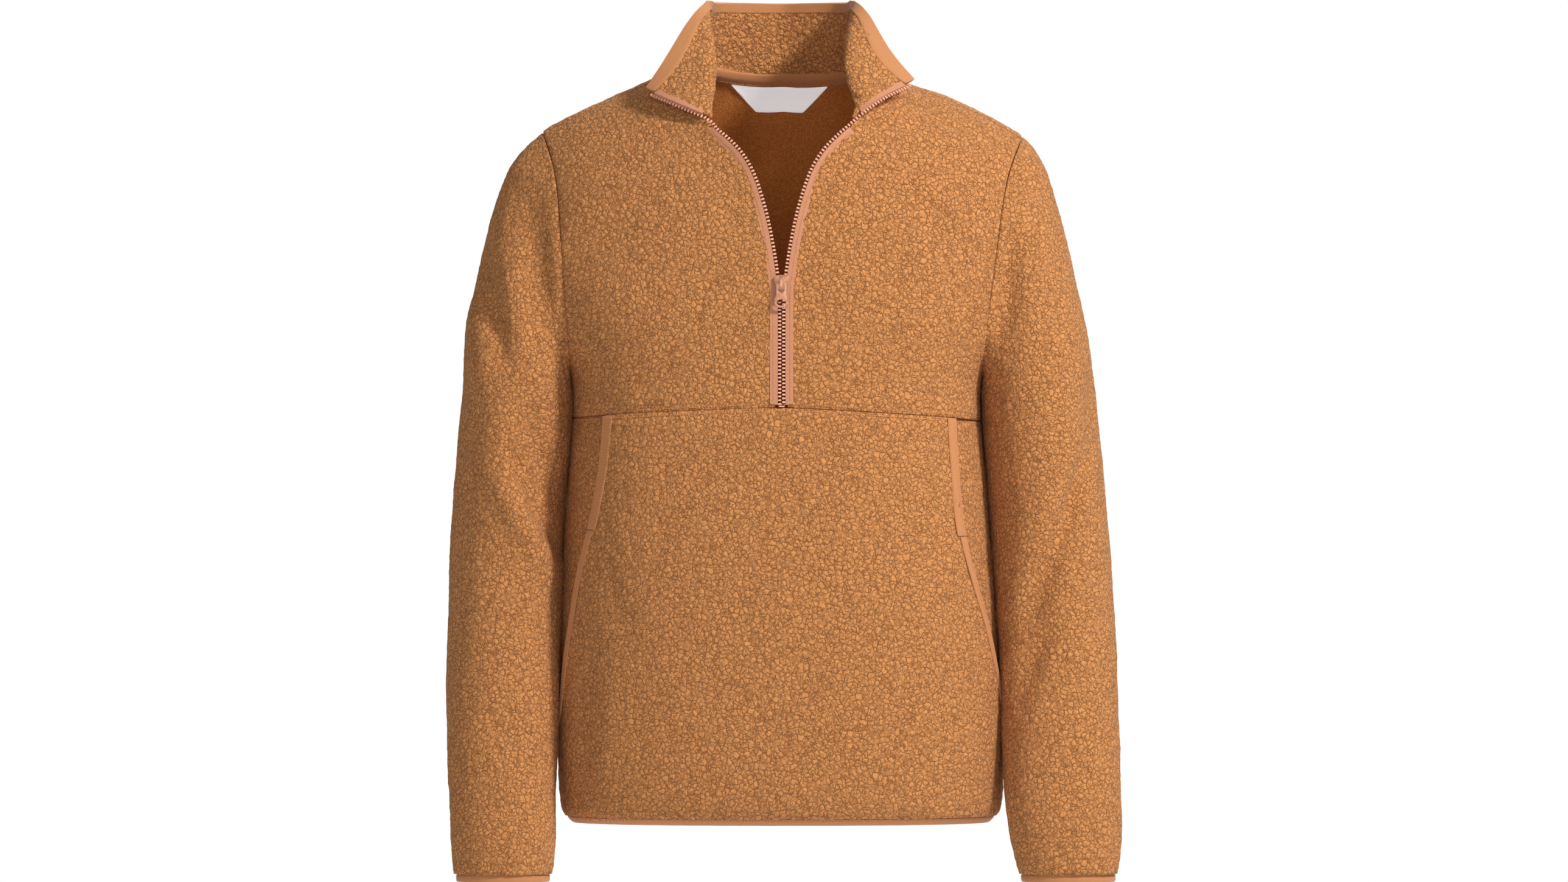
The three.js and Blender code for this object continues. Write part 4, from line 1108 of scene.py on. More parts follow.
SLEEVE_FOLDS = {
    "right": (
        Fold(-259, -135, -241, -262, 10, -7.2),
        Fold(-271, -150, -262, -285, 9, 3.5),
        Fold(-222, -105, -211, -240, 13, -6.7),
        Fold(-226, -290, -198, -398, 14, -8.0),
        Fold(-240, -330, -199, -424, 7, -6.7),
        Fold(-252, -352, -206, -447, 10, 6.1),
        Fold(-262, -560, -228, -600, 16, -2.9),
        Fold(-270, -400, -212, -443, 11, -6.4, Facing.BACK),
        Fold(-268, -357, -205, -389, 12, 4.3, Facing.BACK),
        Fold(-251, -486, -222, -584, 12, -4.6, Facing.BACK),
    ),
    "left": (
        Fold(272, -262, 270, -324, 9, -6.1),
        Fold(270, -324, 244, -416, 9, -7.8),
        Fold(244, -416, 211, -500, 10, -7.2),
        Fold(237, -482, 209, -556, 10, -6.4),
        Fold(256, -318, 226, -412, 12, 4.9),
        Fold(226, -440, 205, -480, 9, 3.8),
        Fold(205, -130, 196, -244, 11, -4.9),
        Fold(270, -381, 212, -428, 11, -6.4, Facing.BACK),
        Fold(266, -344, 205, -368, 12, 4.3, Facing.BACK),
        Fold(255, -486, 227, -584, 12, -4.6, Facing.BACK),
    ),
}


@dataclass
class BodyPanels:
    """The fleece panels of the body, with its pocket."""

    def build(self) -> list[ClothPanel]:
        """Names the panels with their cuts.

        Returns:
            The panels.
        """
        return [
            ClothPanel(node, f"fleece_{name}", flat, area, out_of_body, cuts, folds=folds)
            for node, name, flat, area, cuts, folds in (
                ("chest_right", "chest_right", (0.24, 0.31), 0.0576, 1, CHEST_FOLDS),
                ("chest_left", "chest_left", (0.24, 0.31), 0.0565, 1, CHEST_FOLDS),
                ("back", "back", (0.53, 0.72), 0.315, 1, BACK_FOLDS),
                ("front_lower", "lower_front", (0.52, 0.36), 0.178, 1, FRONT_FOLDS),
                ("kangaroo_pocket", "pocket", (0.53, 0.37), 0.149, 2, FRONT_FOLDS),
            )
        ]


@dataclass
class Sleeves:
    """The two set-in sleeves."""

    flat: tuple[float, float] = (0.34, 0.66)
    area: float = 0.183

    def build(self) -> list[ClothPanel]:
        """Names the sleeves with their cuts.

        Returns:
            The sleeves.
        """
        return [
            ClothPanel(
                f"sleeve_{name}", f"fleece_sleeve_{name}", self.flat, self.area, out_of_sleeve(side),
                folds=SLEEVE_FOLDS[name], press=(-1.5 * MM, 1.5 * MM),
            )
            for name, side in SIDES.items()
        ]


@dataclass
class Collar:
    """The stand collar, with pile on both of its sides."""

    flat: tuple[float, float] = (0.56, 0.1)
    area: float = 0.0275

    def build(self) -> ClothPanel:
        """Names the collar with its cut.

        Returns:
            The collar.
        """
        away = lambda place: Vector((place.x, place.y, 0.0))
        return ClothPanel(
            "collar", "fleece_collar", self.flat, self.area, away,
            both_sides=True, press=(0.2 * MM, 3 * MM),
        )


# Tapes, bindings and label


@dataclass
class Tape:
    """A strip of tape, made on the form of its solid and softly uneven."""

    node: str
    name: str
    slot: str
    flat: tuple[float, float]
    levels: int = 2
    area: Optional[float] = None
    wobble: float = 0.25 * MM
    hold: Hold = Hold.STRETCHED

    def build(self) -> bpy.types.Object:
        """Builds the strip.

        Returns:
            The strip.
        """
        obj = copy_of_node(self.node, self.name)
        crease_rims(obj, angle=40, crease=0.75)
        subdivide(obj, self.levels)
        texture = bpy.data.textures.get("tape_wobble") or bpy.data.textures.new("tape_wobble", "CLOUDS")
        texture.noise_scale = 7 * MM
        modifier = obj.modifiers.new("Wobble", "DISPLACE")
        modifier.texture = texture
        modifier.texture_coords = "LOCAL"
        modifier.strength = self.wobble
        apply_modifiers(obj)
        take(obj)
        bpy.ops.object.shade_smooth_by_angle(angle=math.radians(50))
        return obj

    def dress(self, obj: bpy.types.Object, material: bpy.types.Material) -> None:
        """Gives the strip its material, and hands it over to the garment in place of its solid.

        Args:
            obj: the strip.
            material: its material.
        """
        obj.data.materials.append(material)
        hand_over(obj, [self.node])


def rings_along(node: str, start: Callable[[np.ndarray], np.ndarray], count: int) -> list[np.ndarray]:
    """Walks a lofted solid from one end to the other.

    Args:
        node: the solid's node.
        start: gives a number for each vertex that is least at the first ring.
        count: how many vertices a ring has.

    Returns:
        The vertices of each ring, in metres.
    """
    obj = copy_of_node(node, f"scratch_{node}", quads=False)
    places = coordinates(obj.data)
    near: dict[int, set[int]] = {}
    for a, b in (edge.vertices for edge in obj.data.edges):
        near.setdefault(a, set()).add(b)
        near.setdefault(b, set()).add(a)
    ring = set(np.argsort(start(places))[:count].tolist())
    seen = set(ring)
    rings = []
    while ring:
        rings.append(places[sorted(ring)])
        ring = {n for v in ring for n in near[v]} - seen
        seen |= ring
    bpy.data.objects.remove(obj)
    return rings


@dataclass
class Track:
    """A line through space with a way across and a way out at each of its points."""

    points: np.ndarray
    across: np.ndarray
    out: np.ndarray

    def at(self, distances: np.ndarray) -> tuple[np.ndarray, np.ndarray, np.ndarray, np.ndarray]:
        """Reads the line at distances from its start.

        Args:
            distances: the distances in metres.

        Returns:
            The points, the ways along, the ways across and the ways out.
        """
        steps = np.linalg.norm(np.diff(self.points, axis=0), axis=1)
        run = np.concatenate([[0], np.cumsum(steps)])
        read = lambda table, d: np.stack([np.interp(d, run, table[:, k]) for k in range(3)], axis=1)
        points = read(self.points, distances)
        step = 0.4 * MM
        along = read(self.points, distances + step) - read(self.points, distances - step)
        along /= np.linalg.norm(along, axis=1)[:, None] + 1e-12
        out = read(self.out, distances)
        out -= np.einsum("ij,ij->i", out, along)[:, None] * along
        out /= np.linalg.norm(out, axis=1)[:, None] + 1e-12
        return points, along, np.cross(out, along), out

    def length(self) -> float:
        """Gives the line's length in metres."""
        return float(np.linalg.norm(np.diff(self.points, axis=0), axis=1).sum())


def along_teeth(obj: bpy.types.Object, track: Track, share: float, draw_out: float = 0.0) -> None:
    """Narrows a tape towards the teeth, and draws its upper end out along them.

    Args:
        obj: the tape.
        track: the middle line of the row of teeth.
        share: how much of the tape's width is left.
        draw_out: how far its upper end moves on, in metres.
    """
    places = coordinates(obj.data)
    runs = np.arange(0, track.length(), 0.5 * MM)
    points, along, across, out = track.at(runs)
    tree = tree_of(points)
    near = np.array([tree.find(place)[1] for place in places])
    gap = places - points[near]
    measure = lambda way: np.einsum("ij,ij->i", gap, way[near])
    run, beside, lift = runs[near] + measure(along), measure(across), measure(out)
    run = run + draw_out * smooth_step(run, run.max() - 25 * MM, run.max())
    points, _, across, out = track.at(run)
    move_vertices(obj.data, points + across * (beside * share)[:, None] + out * lift[:, None])


TAPE_ALONG_TEETH = {
    "zip_tape_right": (0.72, 9.5 * MM),
    "zip_tape_left": (0.72, 9.5 * MM),
    "collar_zip_tape_right": (0.62, 0.0),
    "collar_zip_tape_left": (0.62, 0.0),
}


@dataclass
class Trims:
    """All tapes, bindings and the plain label."""

    def build(self) -> list[tuple[Tape, str]]:
        """Names the strips, each with its material's field, which is called as its slot is.

        Returns:
            The strips and their materials' names.
        """
        strips = [
            ("hem_binding", "hem_binding_tape", "binding", (1.03, 0.02), 0.012),
            ("collar_binding", "collar_binding_tape", "binding", (0.48, 0.024), None),
            ("neck_tape", "neck_seam_tape", "binding", (0.15, 0.012), None),
            ("label", "plain_label", "label", (0.087, 0.022), 0.00142),
        ]
        for side in SIDES:
            strips += [
                (f"{node}_{side}", f"{name}_{side}", slot, flat, area)
                for node, name, slot, flat, area in (
                    ("cuff_binding", "cuff_binding_tape", "binding", (0.24, 0.01), None),
                    ("pocket_tape", "pocket_edge_tape", "binding", (0.011, 0.1), None),
                    ("pocket_binding", "pocket_edge_binding", "binding", (0.01, 0.19), None),
                    ("zip_tape", "woven_zip_tape", "zip_tape", (0.01, 0.29), 0.0022),
                    ("collar_zip_tape", "woven_collar_tape", "zip_tape", (0.01, 0.075), None),
                )
            ]
        wobble = {"label": 0.1 * MM}
        return [
            (Tape(node, name, slot, flat, area=area, wobble=wobble.get(slot, Tape.wobble)), slot)
            for node, name, slot, flat, area in strips
        ]


# The hang of the finished cloth


@dataclass(frozen=True)
class WingMove:
    """How far a collar wing's tip is moved, with all that is sewn to it, in millimetres."""

    x: float
    z: float
    out: float
    up: float
    reach: float = 62


@dataclass(frozen=True)
class SleeveMove:
    """How far a sleeve's outer and inner sides are moved at one height, in millimetres.

    The distances of the sides from the middle are inner and outer, and the moves are away from it.
    """

    z: float
    inner: float
    outer: float
    inner_move: float
    outer_move: float


WING_MOVES = (WingMove(-113, 0, 2.5, -3.0), WingMove(96, 26, -5.0, -3.0, 40), WingMove(116, 2, 2.5, -4.0, 30))
SLEEVE_MOVES = {
    "right": (
        SleeveMove(-712, 205, 288, -3.4, 0.0),
        SleeveMove(-693, 203, 291, -3.6, 0.0),
        SleeveMove(-639, 201, 294, -1.4, -0.8),
        SleeveMove(-584, 200, 296, -2.6, 0.0),
        SleeveMove(-530, 200, 296, -4.2, 0.0),
        SleeveMove(-476, 198, 295, -4.4, -0.6),
        SleeveMove(-421, 196, 293, -3.6, 1.0),
        SleeveMove(-367, 193, 288, -4.6, 2.4),
        SleeveMove(-313, 189, 282, -4.2, 3.8),
        SleeveMove(-282, 188, 278, -3.8, 4.8),
        SleeveMove(-267, 190, 276, -2.4, 6.0),
        SleeveMove(-204, 194, 265, -0.9, 9.4),
        SleeveMove(-150, 198, 253, -0.6, 10.6),
        SleeveMove(-109, 202, 242, -0.6, 10.6),
        SleeveMove(-80, 206, 229, -0.6, 9.6),
        SleeveMove(-62, 211, 224, 0.0, 5.0),
        SleeveMove(-48, 213, 220, 0.0, 0.0),
    ),
    "left": (
        SleeveMove(-712, 212, 296, -3.6, 0.0),
        SleeveMove(-693, 209, 300, -3.8, -0.4),
        SleeveMove(-666, 205, 301, -3.8, -1.2),
        SleeveMove(-639, 202, 300, -4.4, -1.2),
        SleeveMove(-584, 199, 298, -5.0, 0.0),
        SleeveMove(-530, 198, 295, -4.6, 1.2),
        SleeveMove(-476, 195, 292, -4.6, 2.6),
        SleeveMove(-421, 191, 287, -5.4, 3.8),
        SleeveMove(-367, 187, 282, -4.8, 4.0),
        SleeveMove(-313, 183, 277, -5.0, 5.2),
        SleeveMove(-282, 182, 274, -5.0, 5.4),
        SleeveMove(-267, 186, 271, -2.8, 5.3),
        SleeveMove(-204, 194, 260, -1.0, 4.0),
        SleeveMove(-150, 198, 250, -0.6, 2.2),
        SleeveMove(-109, 202, 242, -0.6, 1.4),
        SleeveMove(-80, 206, 229, -0.6, 3.0),
        SleeveMove(-62, 211, 224, 0.0, 2.0),
        SleeveMove(-48, 213, 220, 0.0, 0.0),
    ),
}


@dataclass
class Hang:
    """Brings the finished cloth to the way in which the real one hangs."""

    def settle_wings(self, obj: bpy.types.Object) -> None:
        """Moves what lies at the collar's wings.

        Args:
            obj: a piece.
        """
        places = coordinates(obj.data)
        for wing in WING_MOVES:
            far = np.hypot(places[:, 0] - wing.x * MM, places[:, 2] - wing.z * MM) / (wing.reach * MM)
            share = np.exp(-far * far)
            places[:, 0] += share * wing.out * MM * math.copysign(1, wing.x)
            places[:, 2] += share * wing.up * MM
        move_vertices(obj.data, places)

    def settle_sleeve(self, obj: bpy.types.Object, name: str) -> None:
        """Moves the sides of a sleeve, or of what is sewn to it.

        Args:
            obj: the piece.
            name: the side.
        """
        rows = sorted(SLEEVE_MOVES[name], key=lambda row: row.z)
        places = coordinates(obj.data)
        heights = [row.z * MM for row in rows]
        read = lambda key: np.interp(places[:, 2], heights, [getattr(row, key) * MM for row in rows])
        inner, outer = read("inner"), read("outer")
        share = np.clip((np.abs(places[:, 0]) - inner) / (outer - inner), 0, 1)
        share = np.where(places[:, 2] > ARMPIT, share * share * (3 - 2 * share), share)
        move = read("inner_move") * (1 - share) + read("outer_move") * share
        places[:, 0] += SIDES[name] * move
        move_vertices(obj.data, places)


# Zip


def copies_along(
    name: str,
    model: bpy.types.Object,
    track: Track,
    distances: np.ndarray,
    lift: float = 0.0,
    flip: float = 1.0,
) -> bpy.types.Object:
    """Joins copies of a small model along a track. The model's X lies along, its Y across and its Z out.

    Args:
        name: the new object's name.
        model: the model.
        track: the line.
        distances: where the copies stand, in metres from the start.
        lift: how far out of the line they stand.
        flip: -1 to turn the way across round.

    Returns:
        The new object.
    """
    shape = coordinates(model.data)
    faces = [list(face.vertices) for face in model.data.polygons]
    points, along, across, out = track.at(distances)
    across = across * flip
    points = points + out * lift
    verts = (
        points[:, None, :]
        + shape[None, :, 0, None] * along[:, None, :]
        + shape[None, :, 1, None] * across[:, None, :]
        + shape[None, :, 2, None] * out[:, None, :]
    ).reshape(-1, 3)
    step = len(shape)
    if flip < 0:
        faces = [face[::-1] for face in faces]
    index = [[v + step * i for v in face] for i in range(len(points)) for face in faces]
    mesh = bpy.data.meshes.new(name)
    mesh.from_pydata(verts.tolist(), [], index)
    mesh.update()
    obj = bpy.data.objects.new(name, mesh)
    bpy.context.scene.collection.objects.link(obj)
    take(obj)
    bpy.ops.object.shade_smooth_by_angle(angle=math.radians(40))
    return obj


@dataclass
class ZipTeeth:
    """The two rows of moulded teeth, each tooth with its bead-like head."""

    pitch: float = 3.3 * MM
    long: float = 1.75 * MM
    wide: float = 2.7 * MM
    high: float = 2.5 * MM
    head: float = 1.15 * MM

    def tooth(self) -> bpy.types.Object:
        """Models one tooth: a block on the tape, and a round head.

        Returns:
            The tooth.
        """
        bpy.ops.object.select_all(action="DESELECT")
        bpy.ops.mesh.primitive_cube_add(size=1)
        block = bpy.context.object
        block.scale = (self.long * 0.82, self.wide * 0.62, self.high * 0.9)
        block.location = (0, -self.wide * 0.2, 0)
        bpy.ops.object.transform_apply(location=True, rotation=True, scale=True)
        bevel_edges(block, 0.3 * MM, segments=1)
        bpy.ops.object.select_all(action="DESELECT")
        bpy.ops.mesh.primitive_uv_sphere_add(segments=10, ring_count=6, radius=self.head)
        head = bpy.context.object
        head.scale = (0.92, 1.0, 1.12)
        head.location = (0, self.wide * 0.22, 0)
        bpy.ops.object.transform_apply(location=True, rotation=True, scale=True)
        take(block, head)
        bpy.ops.object.join()
        return block

    def track(self, name: str) -> Track:
        """Reads the middle line of a row from its solid.

        Args:
            name: the side.

        Returns:
            The line.
        """
        rings = rings_along(f"zip_teeth_{name}", lambda p: p[:, 2], 6)
        points = np.array([ring.mean(axis=0) for ring in rings])
        across = []
        for ring in rings:
            gaps = np.linalg.norm(ring[:, None] - ring[None], axis=2)
            a, b = np.unravel_index(int(gaps.argmax()), gaps.shape)
            way = ring[b] - ring[a]
            across.append(way / np.linalg.norm(way))
        across = np.array(across)
        along = np.gradient(points, axis=0)
        out = np.cross(across, along)
        out /= np.linalg.norm(out, axis=1)[:, None]
        out *= np.where(out[:, 1] > 0, -1, 1)[:, None]
        return Track(points, across, out)

    def build(self, wardrobe: Wardrobe, tracks: dict[str, Track]) -> None:
        """Builds both rows.

        Args:
            wardrobe: the materials.
            tracks: the rows' middle lines by side.
        """
        model = self.tooth()
        for name, side in SIDES.items():
            track = tracks[name]
            first = 0.9 * MM + (0.5 * self.pitch if side > 0 else 0)
            count = int((track.length() - 0.6 * MM - first) / self.pitch)
            distances = first + self.pitch * np.arange(count + 1)
            # out x along points to the wearer's right on a line that climbs, so the left row keeps its way
            row = copies_along(f"moulded_teeth_{name}", model, track, distances, flip=float(side))
            row.data.materials.append(wardrobe.teeth)
            hand_over(row, [f"zip_teeth_{name}"])
        bpy.data.objects.remove(model)


@dataclass
class ZipHardware:
    """The slider, its pull tab and the stop at the bottom."""

    edge: float = 0.28 * MM

    def build(self, wardrobe: Wardrobe) -> None:
        """Builds the pieces with rounded edges.

        Args:
            wardrobe: the materials.
        """
        for node, name, body, slot, material in (
            ("zip_slider", "slider_body", GARMENT, "zip_hardware", wardrobe.metal),
            ("zip_pull", "pull_tab_metal", TAB, "zip_hardware", wardrobe.metal),
            ("zip_bottom_stop", "moulded_bottom_stop", GARMENT, "zip_teeth", wardrobe.teeth),
        ):
            obj = copy_of_node(node, name)
            bevel_edges(obj, self.edge)
            obj.data.materials.append(material)
            hand_over(obj, [node], body)


# Stitches


def even_out(line: np.ndarray, half: int = 3) -> np.ndarray:
    """Evens out a line by the mean of each place and its neighbours.

    Args:
        line: the places in their order.
        half: how many neighbours on each side count.

    Returns:
        The evened line.
    """
    padded = np.concatenate([line[:1].repeat(half, 0), line, line[-1:].repeat(half, 0)])
    return sum(padded[i : i + len(line)] for i in range(2 * half + 1)) / (2 * half + 1)


@dataclass
class Stitching:
    """Rows of stitches, laid on the finished cloth."""

    wardrobe: Wardrobe
    trees: dict[str, BVHTree] = field(default_factory=dict)
    length: float = 2.7 * MM
    thick: float = 0.62 * MM
    sink: float = 0.12
    reach: float = 0.5

    def cloth(self, names: Iterable[str]) -> None:
        """Reads the pieces on which the stitches lie.

        Args:
            names: the pieces' names.
        """
        graph = bpy.context.evaluated_depsgraph_get()
        for name in names:
            self.trees[name] = BVHTree.FromObject(bpy.data.objects[name], graph)

    def stitch(self, long: float, wide: float, slant: float) -> bpy.types.Object:
        """Models one stitch: a short thread whose ends dip into the cloth.

        Args:
            long: its length as a share of a whole stitch.
            wide: its thickness as a share of the thread's.
            slant: how far it is turned on the cloth, in degrees.

        Returns:
            The stitch.
        """
        bpy.ops.object.select_all(action="DESELECT")
        bpy.ops.mesh.primitive_uv_sphere_add(segments=6, ring_count=5, radius=0.5)
        obj = bpy.context.object
        size = (self.length * long, self.thick * wide, self.thick * wide)
        bpy.ops.object.mode_set(mode="EDIT")
        bpy.ops.mesh.select_all(action="SELECT")
        bpy.ops.transform.rotate(value=math.pi / 2, orient_axis="Y", center_override=(0, 0, 0))
        bpy.ops.transform.resize(value=size, center_override=(0, 0, 0))
        bpy.ops.transform.rotate(value=math.radians(slant), orient_axis="Z", center_override=(0, 0, 0))
        bpy.ops.object.mode_set(mode="OBJECT")
        return obj

    def on_cloth(self, places: np.ndarray, ways: np.ndarray, names: Iterable[str]) -> Track:
        """Drops a line of places onto the cloth.

        Args:
            places: places near the cloth, on its outer side.
            ways: the ways in which they drop.
            names: the pieces that they may land on.

        Returns:
            The line on the cloth, with its ways out.
        """
        points, outs = [], []
        for place, way in zip(places, ways):
            ray = Vector(place), Vector(way).normalized(), self.reach
            hits = [hit for hit in (self.trees[name].ray_cast(*ray) for name in names) if hit[0] is not None]
            if not hits:
                continue
            hit = min(hits, key=lambda h: h[3])
            points.append(hit[0])
            outs.append(hit[1] if hit[1].dot(Vector(way)) < 0 else -hit[1])
        points, outs = even_out(np.array(points)), even_out(np.array(outs))
        return Track(points, outs, outs)

    def row(
        self, name: str, track: Track, pitch: float, thread: str = "thread", slot: str = "binding",
        long: float = 0.6, wide: float = 1.0, slant: float = 0.0,
    ) -> None:
        """Sews one row of stitches along a track.

        Args:
            name: the row's name.
            track: the line.
            pitch: the distance from stitch to stitch.
            thread: the thread's material in the wardrobe.
            slot: not used.
            long: a stitch's length as a share of a whole one.
            wide: a stitch's thickness as a share of the thread's.
            slant: how far a stitch is turned on the cloth, in degrees.
        """
        model = self.stitch(long, wide, slant)
        distances = np.arange(0.6 * pitch, track.length() - 0.4 * pitch, pitch)
        row = copies_along(name, model, track, distances, lift=self.sink * MM)
        bpy.data.objects.remove(model)
        row.data.materials.append(getattr(self.wardrobe, thread))
        hand_over(row)


@dataclass
class Seams:
    """All rows of stitches that show, with how far they lie from the seams and edges."""

    stitching: Stitching
    tracks: dict[str, Track]
    above_waist: tuple[str, ...] = ("fleece_chest_right", "fleece_chest_left")
    below_waist: tuple[str, ...] = ("fleece_lower_front", "fleece_pocket")
    waist_inset: float = 2.9 * MM
    waist_slant: float = 24
    zip_inset: float = 5.6 * MM
    neck_inset: float = 1.2 * MM
    hem_middle: tuple[float, float, float] = (0.0, -0.005, -657.2 * MM)
    cuff_middle: tuple[float, float, float] = (0.248, -0.057, -707.2 * MM)

    def build(self) -> None:
        """Sews all rows."""
        self.sew_waist()
        self.sew_shoulders()
        self.sew_zip()
        self.sew_pocket()
        self.sew_rings()
        self.sew_neck()

    def sew_waist(self) -> None:
        """Sews the two rows of the waist seam, from side to side in front."""
        turns = np.radians(np.arange(-86, 86.1, 0.5))
        ways = np.stack([-np.sin(turns), np.cos(turns), 0 * turns], axis=1)
        for name, side, pieces in (("upper", 1, self.above_waist), ("lower", -1, self.below_waist)):
            start = -ways * 0.3
            start[:, 2] = waist_height(np.sin(turns) * BODY_HALF) + side * self.waist_inset
            track = self.stitching.on_cloth(start, ways, pieces)
            track.points[:, 2] = waist_height(track.points[:, 0]) + side * self.waist_inset
            slant = side * self.waist_slant
            self.stitching.row(f"waist_stitches_{name}", track, 2.7 * MM, long=1.0, wide=1.5, slant=slant)

    def sew_shoulders(self) -> None:
        """Sews a row of small stitches beside each shoulder seam."""
        for name, side in SIDES.items():
            across = side * np.arange(72, 186, 1.5) * MM
            ways = np.tile([0.0, 0.35, -0.94], (len(across), 1))
            high = np.interp(np.abs(across), [0.07, 0.19], [-0.052, -0.098])
            start = np.stack([across, np.full_like(across, -0.036), high + 0.05], axis=1)
            track = self.stitching.on_cloth(start, ways, (f"fleece_chest_{name}", "fleece_back"))
            self.stitching.row(f"shoulder_stitches_{name}", track, 2.9 * MM, long=0.55)

    def sew_zip(self) -> None:
        """Sews a row along the outer edge of each zip tape."""
        for name, side in SIDES.items():
            track = self.tracks[name]
            runs = np.arange(2 * MM, 0.29, 1.5 * MM)
            points, _, across, out = track.at(runs)
            start = points - across * (side * self.zip_inset) + out * (9 * MM)
            laid = self.stitching.on_cloth(start, -out, (f"woven_zip_tape_{name}",))
            self.stitching.row(f"zip_tape_stitches_{name}", laid, 2.4 * MM, "zip_thread", "zip_tape")

    def sew_pocket(self) -> None:
        """Sews a row along both edges of each pocket tape and binding."""
        for name in SIDES:
            for strip, inset in (("pocket_edge_tape", 1.5), ("pocket_edge_binding", 1.4)):
                piece = f"{strip}_{name}"
                for edge, start in edge_rows(bpy.data.objects[piece], 2, inset * MM).items():
                    ways = np.tile([0.0, 1.0, 0.0], (len(start), 1))
                    laid = self.stitching.on_cloth(start - ways * 0.04, ways, (piece,))
                    self.stitching.row(f"{strip}_stitches_{name}_{edge}", laid, 2.6 * MM)

    def sew_rings(self) -> None:
        """Sews a row round the hem binding and round each cuff binding."""
        rings = [("hem", "hem_binding_tape", self.hem_middle, 0.3)]
        for name, side in SIDES.items():
            x, y, z = self.cuff_middle
            rings.append((f"cuff_{name}", f"cuff_binding_tape_{name}", (side * x, y, z), 0.07))
        for name, piece, middle, radius in rings:
            turns = np.linspace(0, 2 * math.pi, 361)
            ways = np.stack([np.cos(turns), np.sin(turns), 0 * turns], axis=1)
            laid = self.stitching.on_cloth(np.array(middle) + ways * radius, -ways, (piece,))
            self.stitching.row(f"{name}_stitches", laid, 2.8 * MM)

    def sew_neck(self) -> None:
        """Sews the neck tape's two edges, and the collar binding's edge inside."""
        for piece, edges in (("neck_seam_tape", ("low", "high")), ("collar_binding_tape", ("low",))):
            rows = edge_rows(bpy.data.objects[piece], 0, self.neck_inset, 58 * MM)
            for edge in edges:
                ways = np.tile([0.0, 1.0, 0.0], (len(rows[edge]), 1))
                start = rows[edge].copy()
                start[:, 1] = 0.0
                laid = self.stitching.on_cloth(start, ways, (piece,))
                self.stitching.row(f"{piece}_stitches_{edge}", laid, 2.6 * MM)


def edge_rows(obj: bpy.types.Object, axis: int, inset: float, reach: float = 1.0) -> dict[str, np.ndarray]:
    """Finds lines just inside the two edges of a strip.

    Args:
        obj: the strip.
        axis: the axis along which it runs, 0 for X or 2 for Z.
        inset: how far inside the edges the lines run.
        reach: how far from the middle the lines go, in metres.

    Returns:
        The places of the low and of the high line.
    """
    places = coordinates(obj.data)
    cross = 2 - axis
    lines: dict[str, list] = {"low": [], "high": []}
    low, high = max(places[:, axis].min(), -reach), min(places[:, axis].max(), reach)
    for at in np.arange(low + 1.5 * MM, high - 1.5 * MM, 2 * MM):
        near = places[np.abs(places[:, axis] - at) < 2.2 * MM]
        if len(near) < 4:
            continue
        for name, value in (("low", near[:, cross].min() + inset), ("high", near[:, cross].max() - inset)):
            place = near.mean(axis=0)
            place[axis], place[cross] = at, value
            lines[name].append(place)
    return {name: np.array(line) for name, line in lines.items()}


# Studio


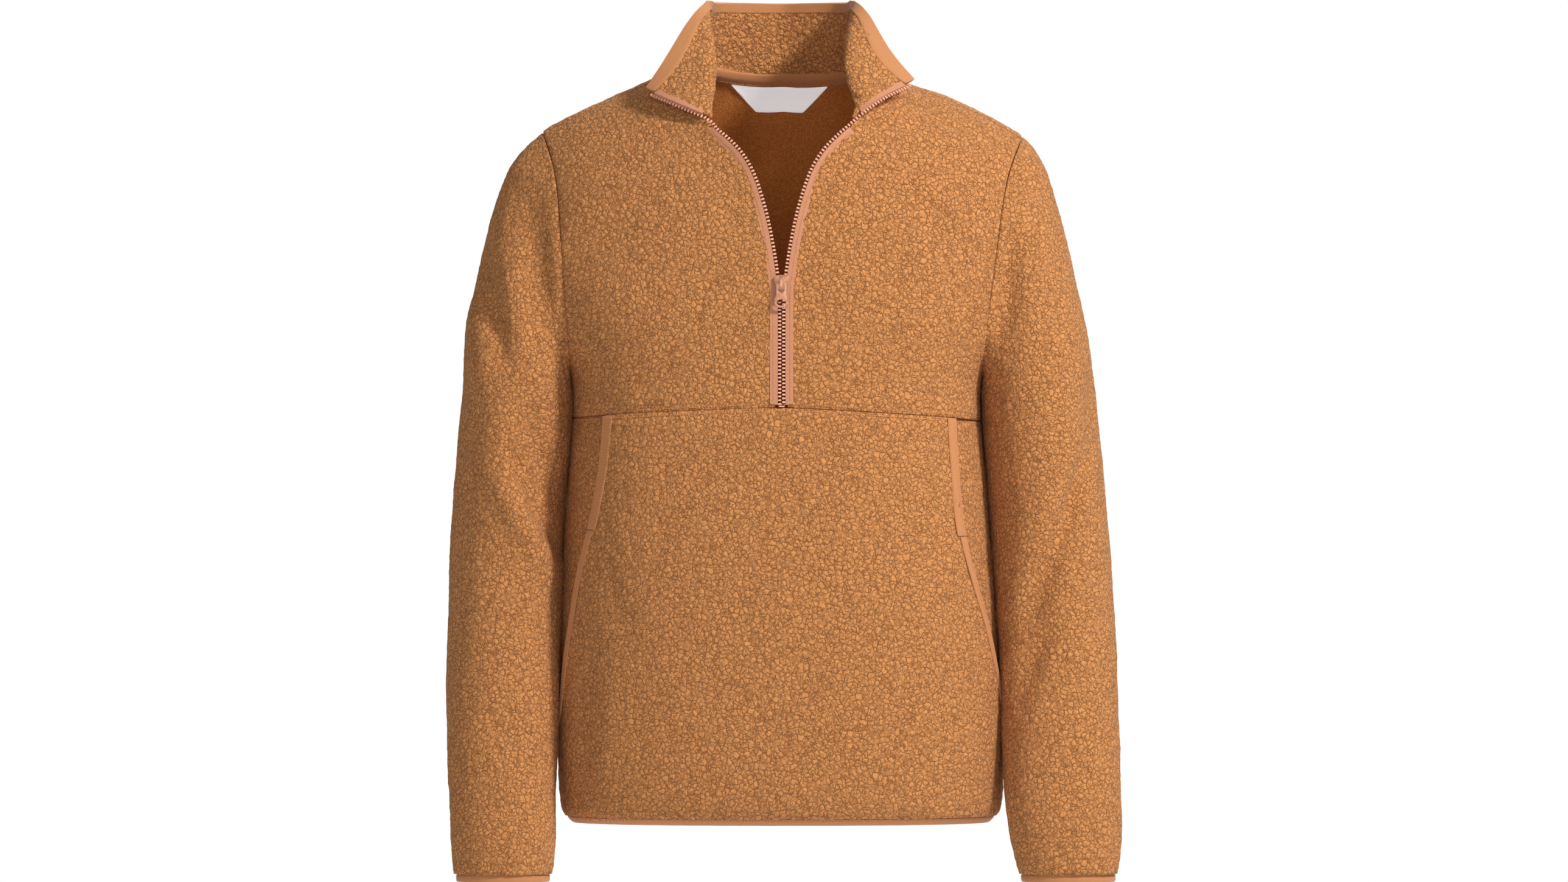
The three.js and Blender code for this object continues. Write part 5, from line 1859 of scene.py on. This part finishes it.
@dataclass
class Studio:
    """The floor, the light and the camera."""

    distance: float = 9.0
    target: tuple[float, float, float] = (2.1 * MM, 0.0, -323.8 * MM)
    width: float = 1391 * MM
    floor: float = -1.3
    lit_place: tuple[float, float, float] = (0, 0, -0.33)
    lamps: tuple = (  # name, place in metres, size in metres, power in watts
        ("key", (1.95, -1.75, 1.75), 0.4, 106),
        ("fill", (-0.2, -3.8, 0.3), 1.6, 25),
        ("back", (0.3, 2.8, 1.2), 1.6, 60),
    )
    room_light: float = 0.33

    def build(self) -> None:
        """Sets up the studio."""
        bpy.context.scene.view_settings.view_transform = "Standard"
        self.set_floor()
        self.set_lights()
        self.set_camera()

    def set_floor(self) -> None:
        """Lays a large pale floor."""
        bpy.ops.object.select_all(action="DESELECT")
        bpy.ops.mesh.primitive_plane_add(size=12, location=(0, 0, 0))
        floor = bpy.context.object
        floor.name = "studio_floor"
        floor.location.z = self.floor
        bpy.ops.object.transform_apply(location=True, rotation=True, scale=True)
        material, bench, shader = start_material("pale_floor")
        bench.fill(shader, {"Base Color": paint(240, 240, 240), "Roughness": 0.9})
        floor.data.materials.append(material)

    def set_lights(self) -> None:
        """Hangs a soft key light at the upper right, a weaker fill, and a white surrounding."""
        world = bpy.data.worlds.new("white_room")
        world.use_nodes = True
        bench = Bench(world.node_tree)
        room = world.node_tree.nodes["Background"]
        room.inputs["Color"].default_value = (1, 1, 1, 1)
        seen = bench.node("ShaderNodeLightPath").outputs["Is Camera Ray"]
        steps = {0: seen, 1: 0.0, 2: 1.0, 3: self.room_light, 4: 1.0}
        bench.fill(room, {"Strength": bench.node("ShaderNodeMapRange", steps).outputs[0]})
        bpy.context.scene.world = world
        for name, place, size, power in self.lamps:
            light = bpy.data.lights.new(f"{name}_light", "AREA")
            light.size = size
            light.energy = power
            lamp = bpy.data.objects.new(f"{name}_light", light)
            lamp.location = place
            aim = Vector(self.lit_place) - Vector(place)
            lamp.rotation_euler = aim.to_track_quat("-Z", "Y").to_euler()
            bpy.context.scene.collection.objects.link(lamp)

    def set_camera(self) -> None:
        """Places the camera level in front of the garment."""
        data = bpy.data.cameras.new("front_camera")
        data.sensor_width = 36
        data.lens = data.sensor_width * self.distance / self.width
        data.clip_end = 100
        camera = bpy.data.objects.new("front_camera", data)
        x, y, z = self.target
        camera.location = (x, y - self.distance, z)
        camera.rotation_euler = (math.pi / 2, 0, 0)
        bpy.context.scene.collection.objects.link(camera)
        bpy.context.scene.camera = camera


def main() -> None:
    """Builds the garment piece by piece."""
    logging.basicConfig(level=logging.INFO, format="%(name)s: %(message)s")
    Studio().build()
    wardrobe = Wardrobe()
    teeth = ZipTeeth()
    tracks = {name: teeth.track(name) for name in SIDES}
    panels = [*BodyPanels().build(), *Sleeves().build(), Collar().build()]
    for panel in panels:
        panel.dress(panel.build(), wardrobe)
    for tape, material in Trims().build():
        obj = tape.build()
        if tape.node in TAPE_ALONG_TEETH:
            side = tape.node.rsplit("_", 1)[1]
            along_teeth(obj, tracks[side], *TAPE_ALONG_TEETH[tape.node])
        tape.dress(obj, getattr(wardrobe, material))
    teeth.build(wardrobe, tracks)
    hang = Hang()
    for name in SIDES:
        for piece in (f"fleece_sleeve_{name}", f"cuff_binding_tape_{name}"):
            hang.settle_sleeve(bpy.data.objects[piece], name)
    for obj in [o for o in bpy.data.objects if o.name.startswith(UPPER_PIECES)]:
        hang.settle_wings(obj)
    ZipHardware().build(wardrobe)
    stitching = Stitching(wardrobe)
    stitching.cloth(o.name for o in bpy.data.objects if o.name.startswith(SEWN_PIECES))
    Seams(stitching, tracks).build()


if __name__ == "__main__":
    main()
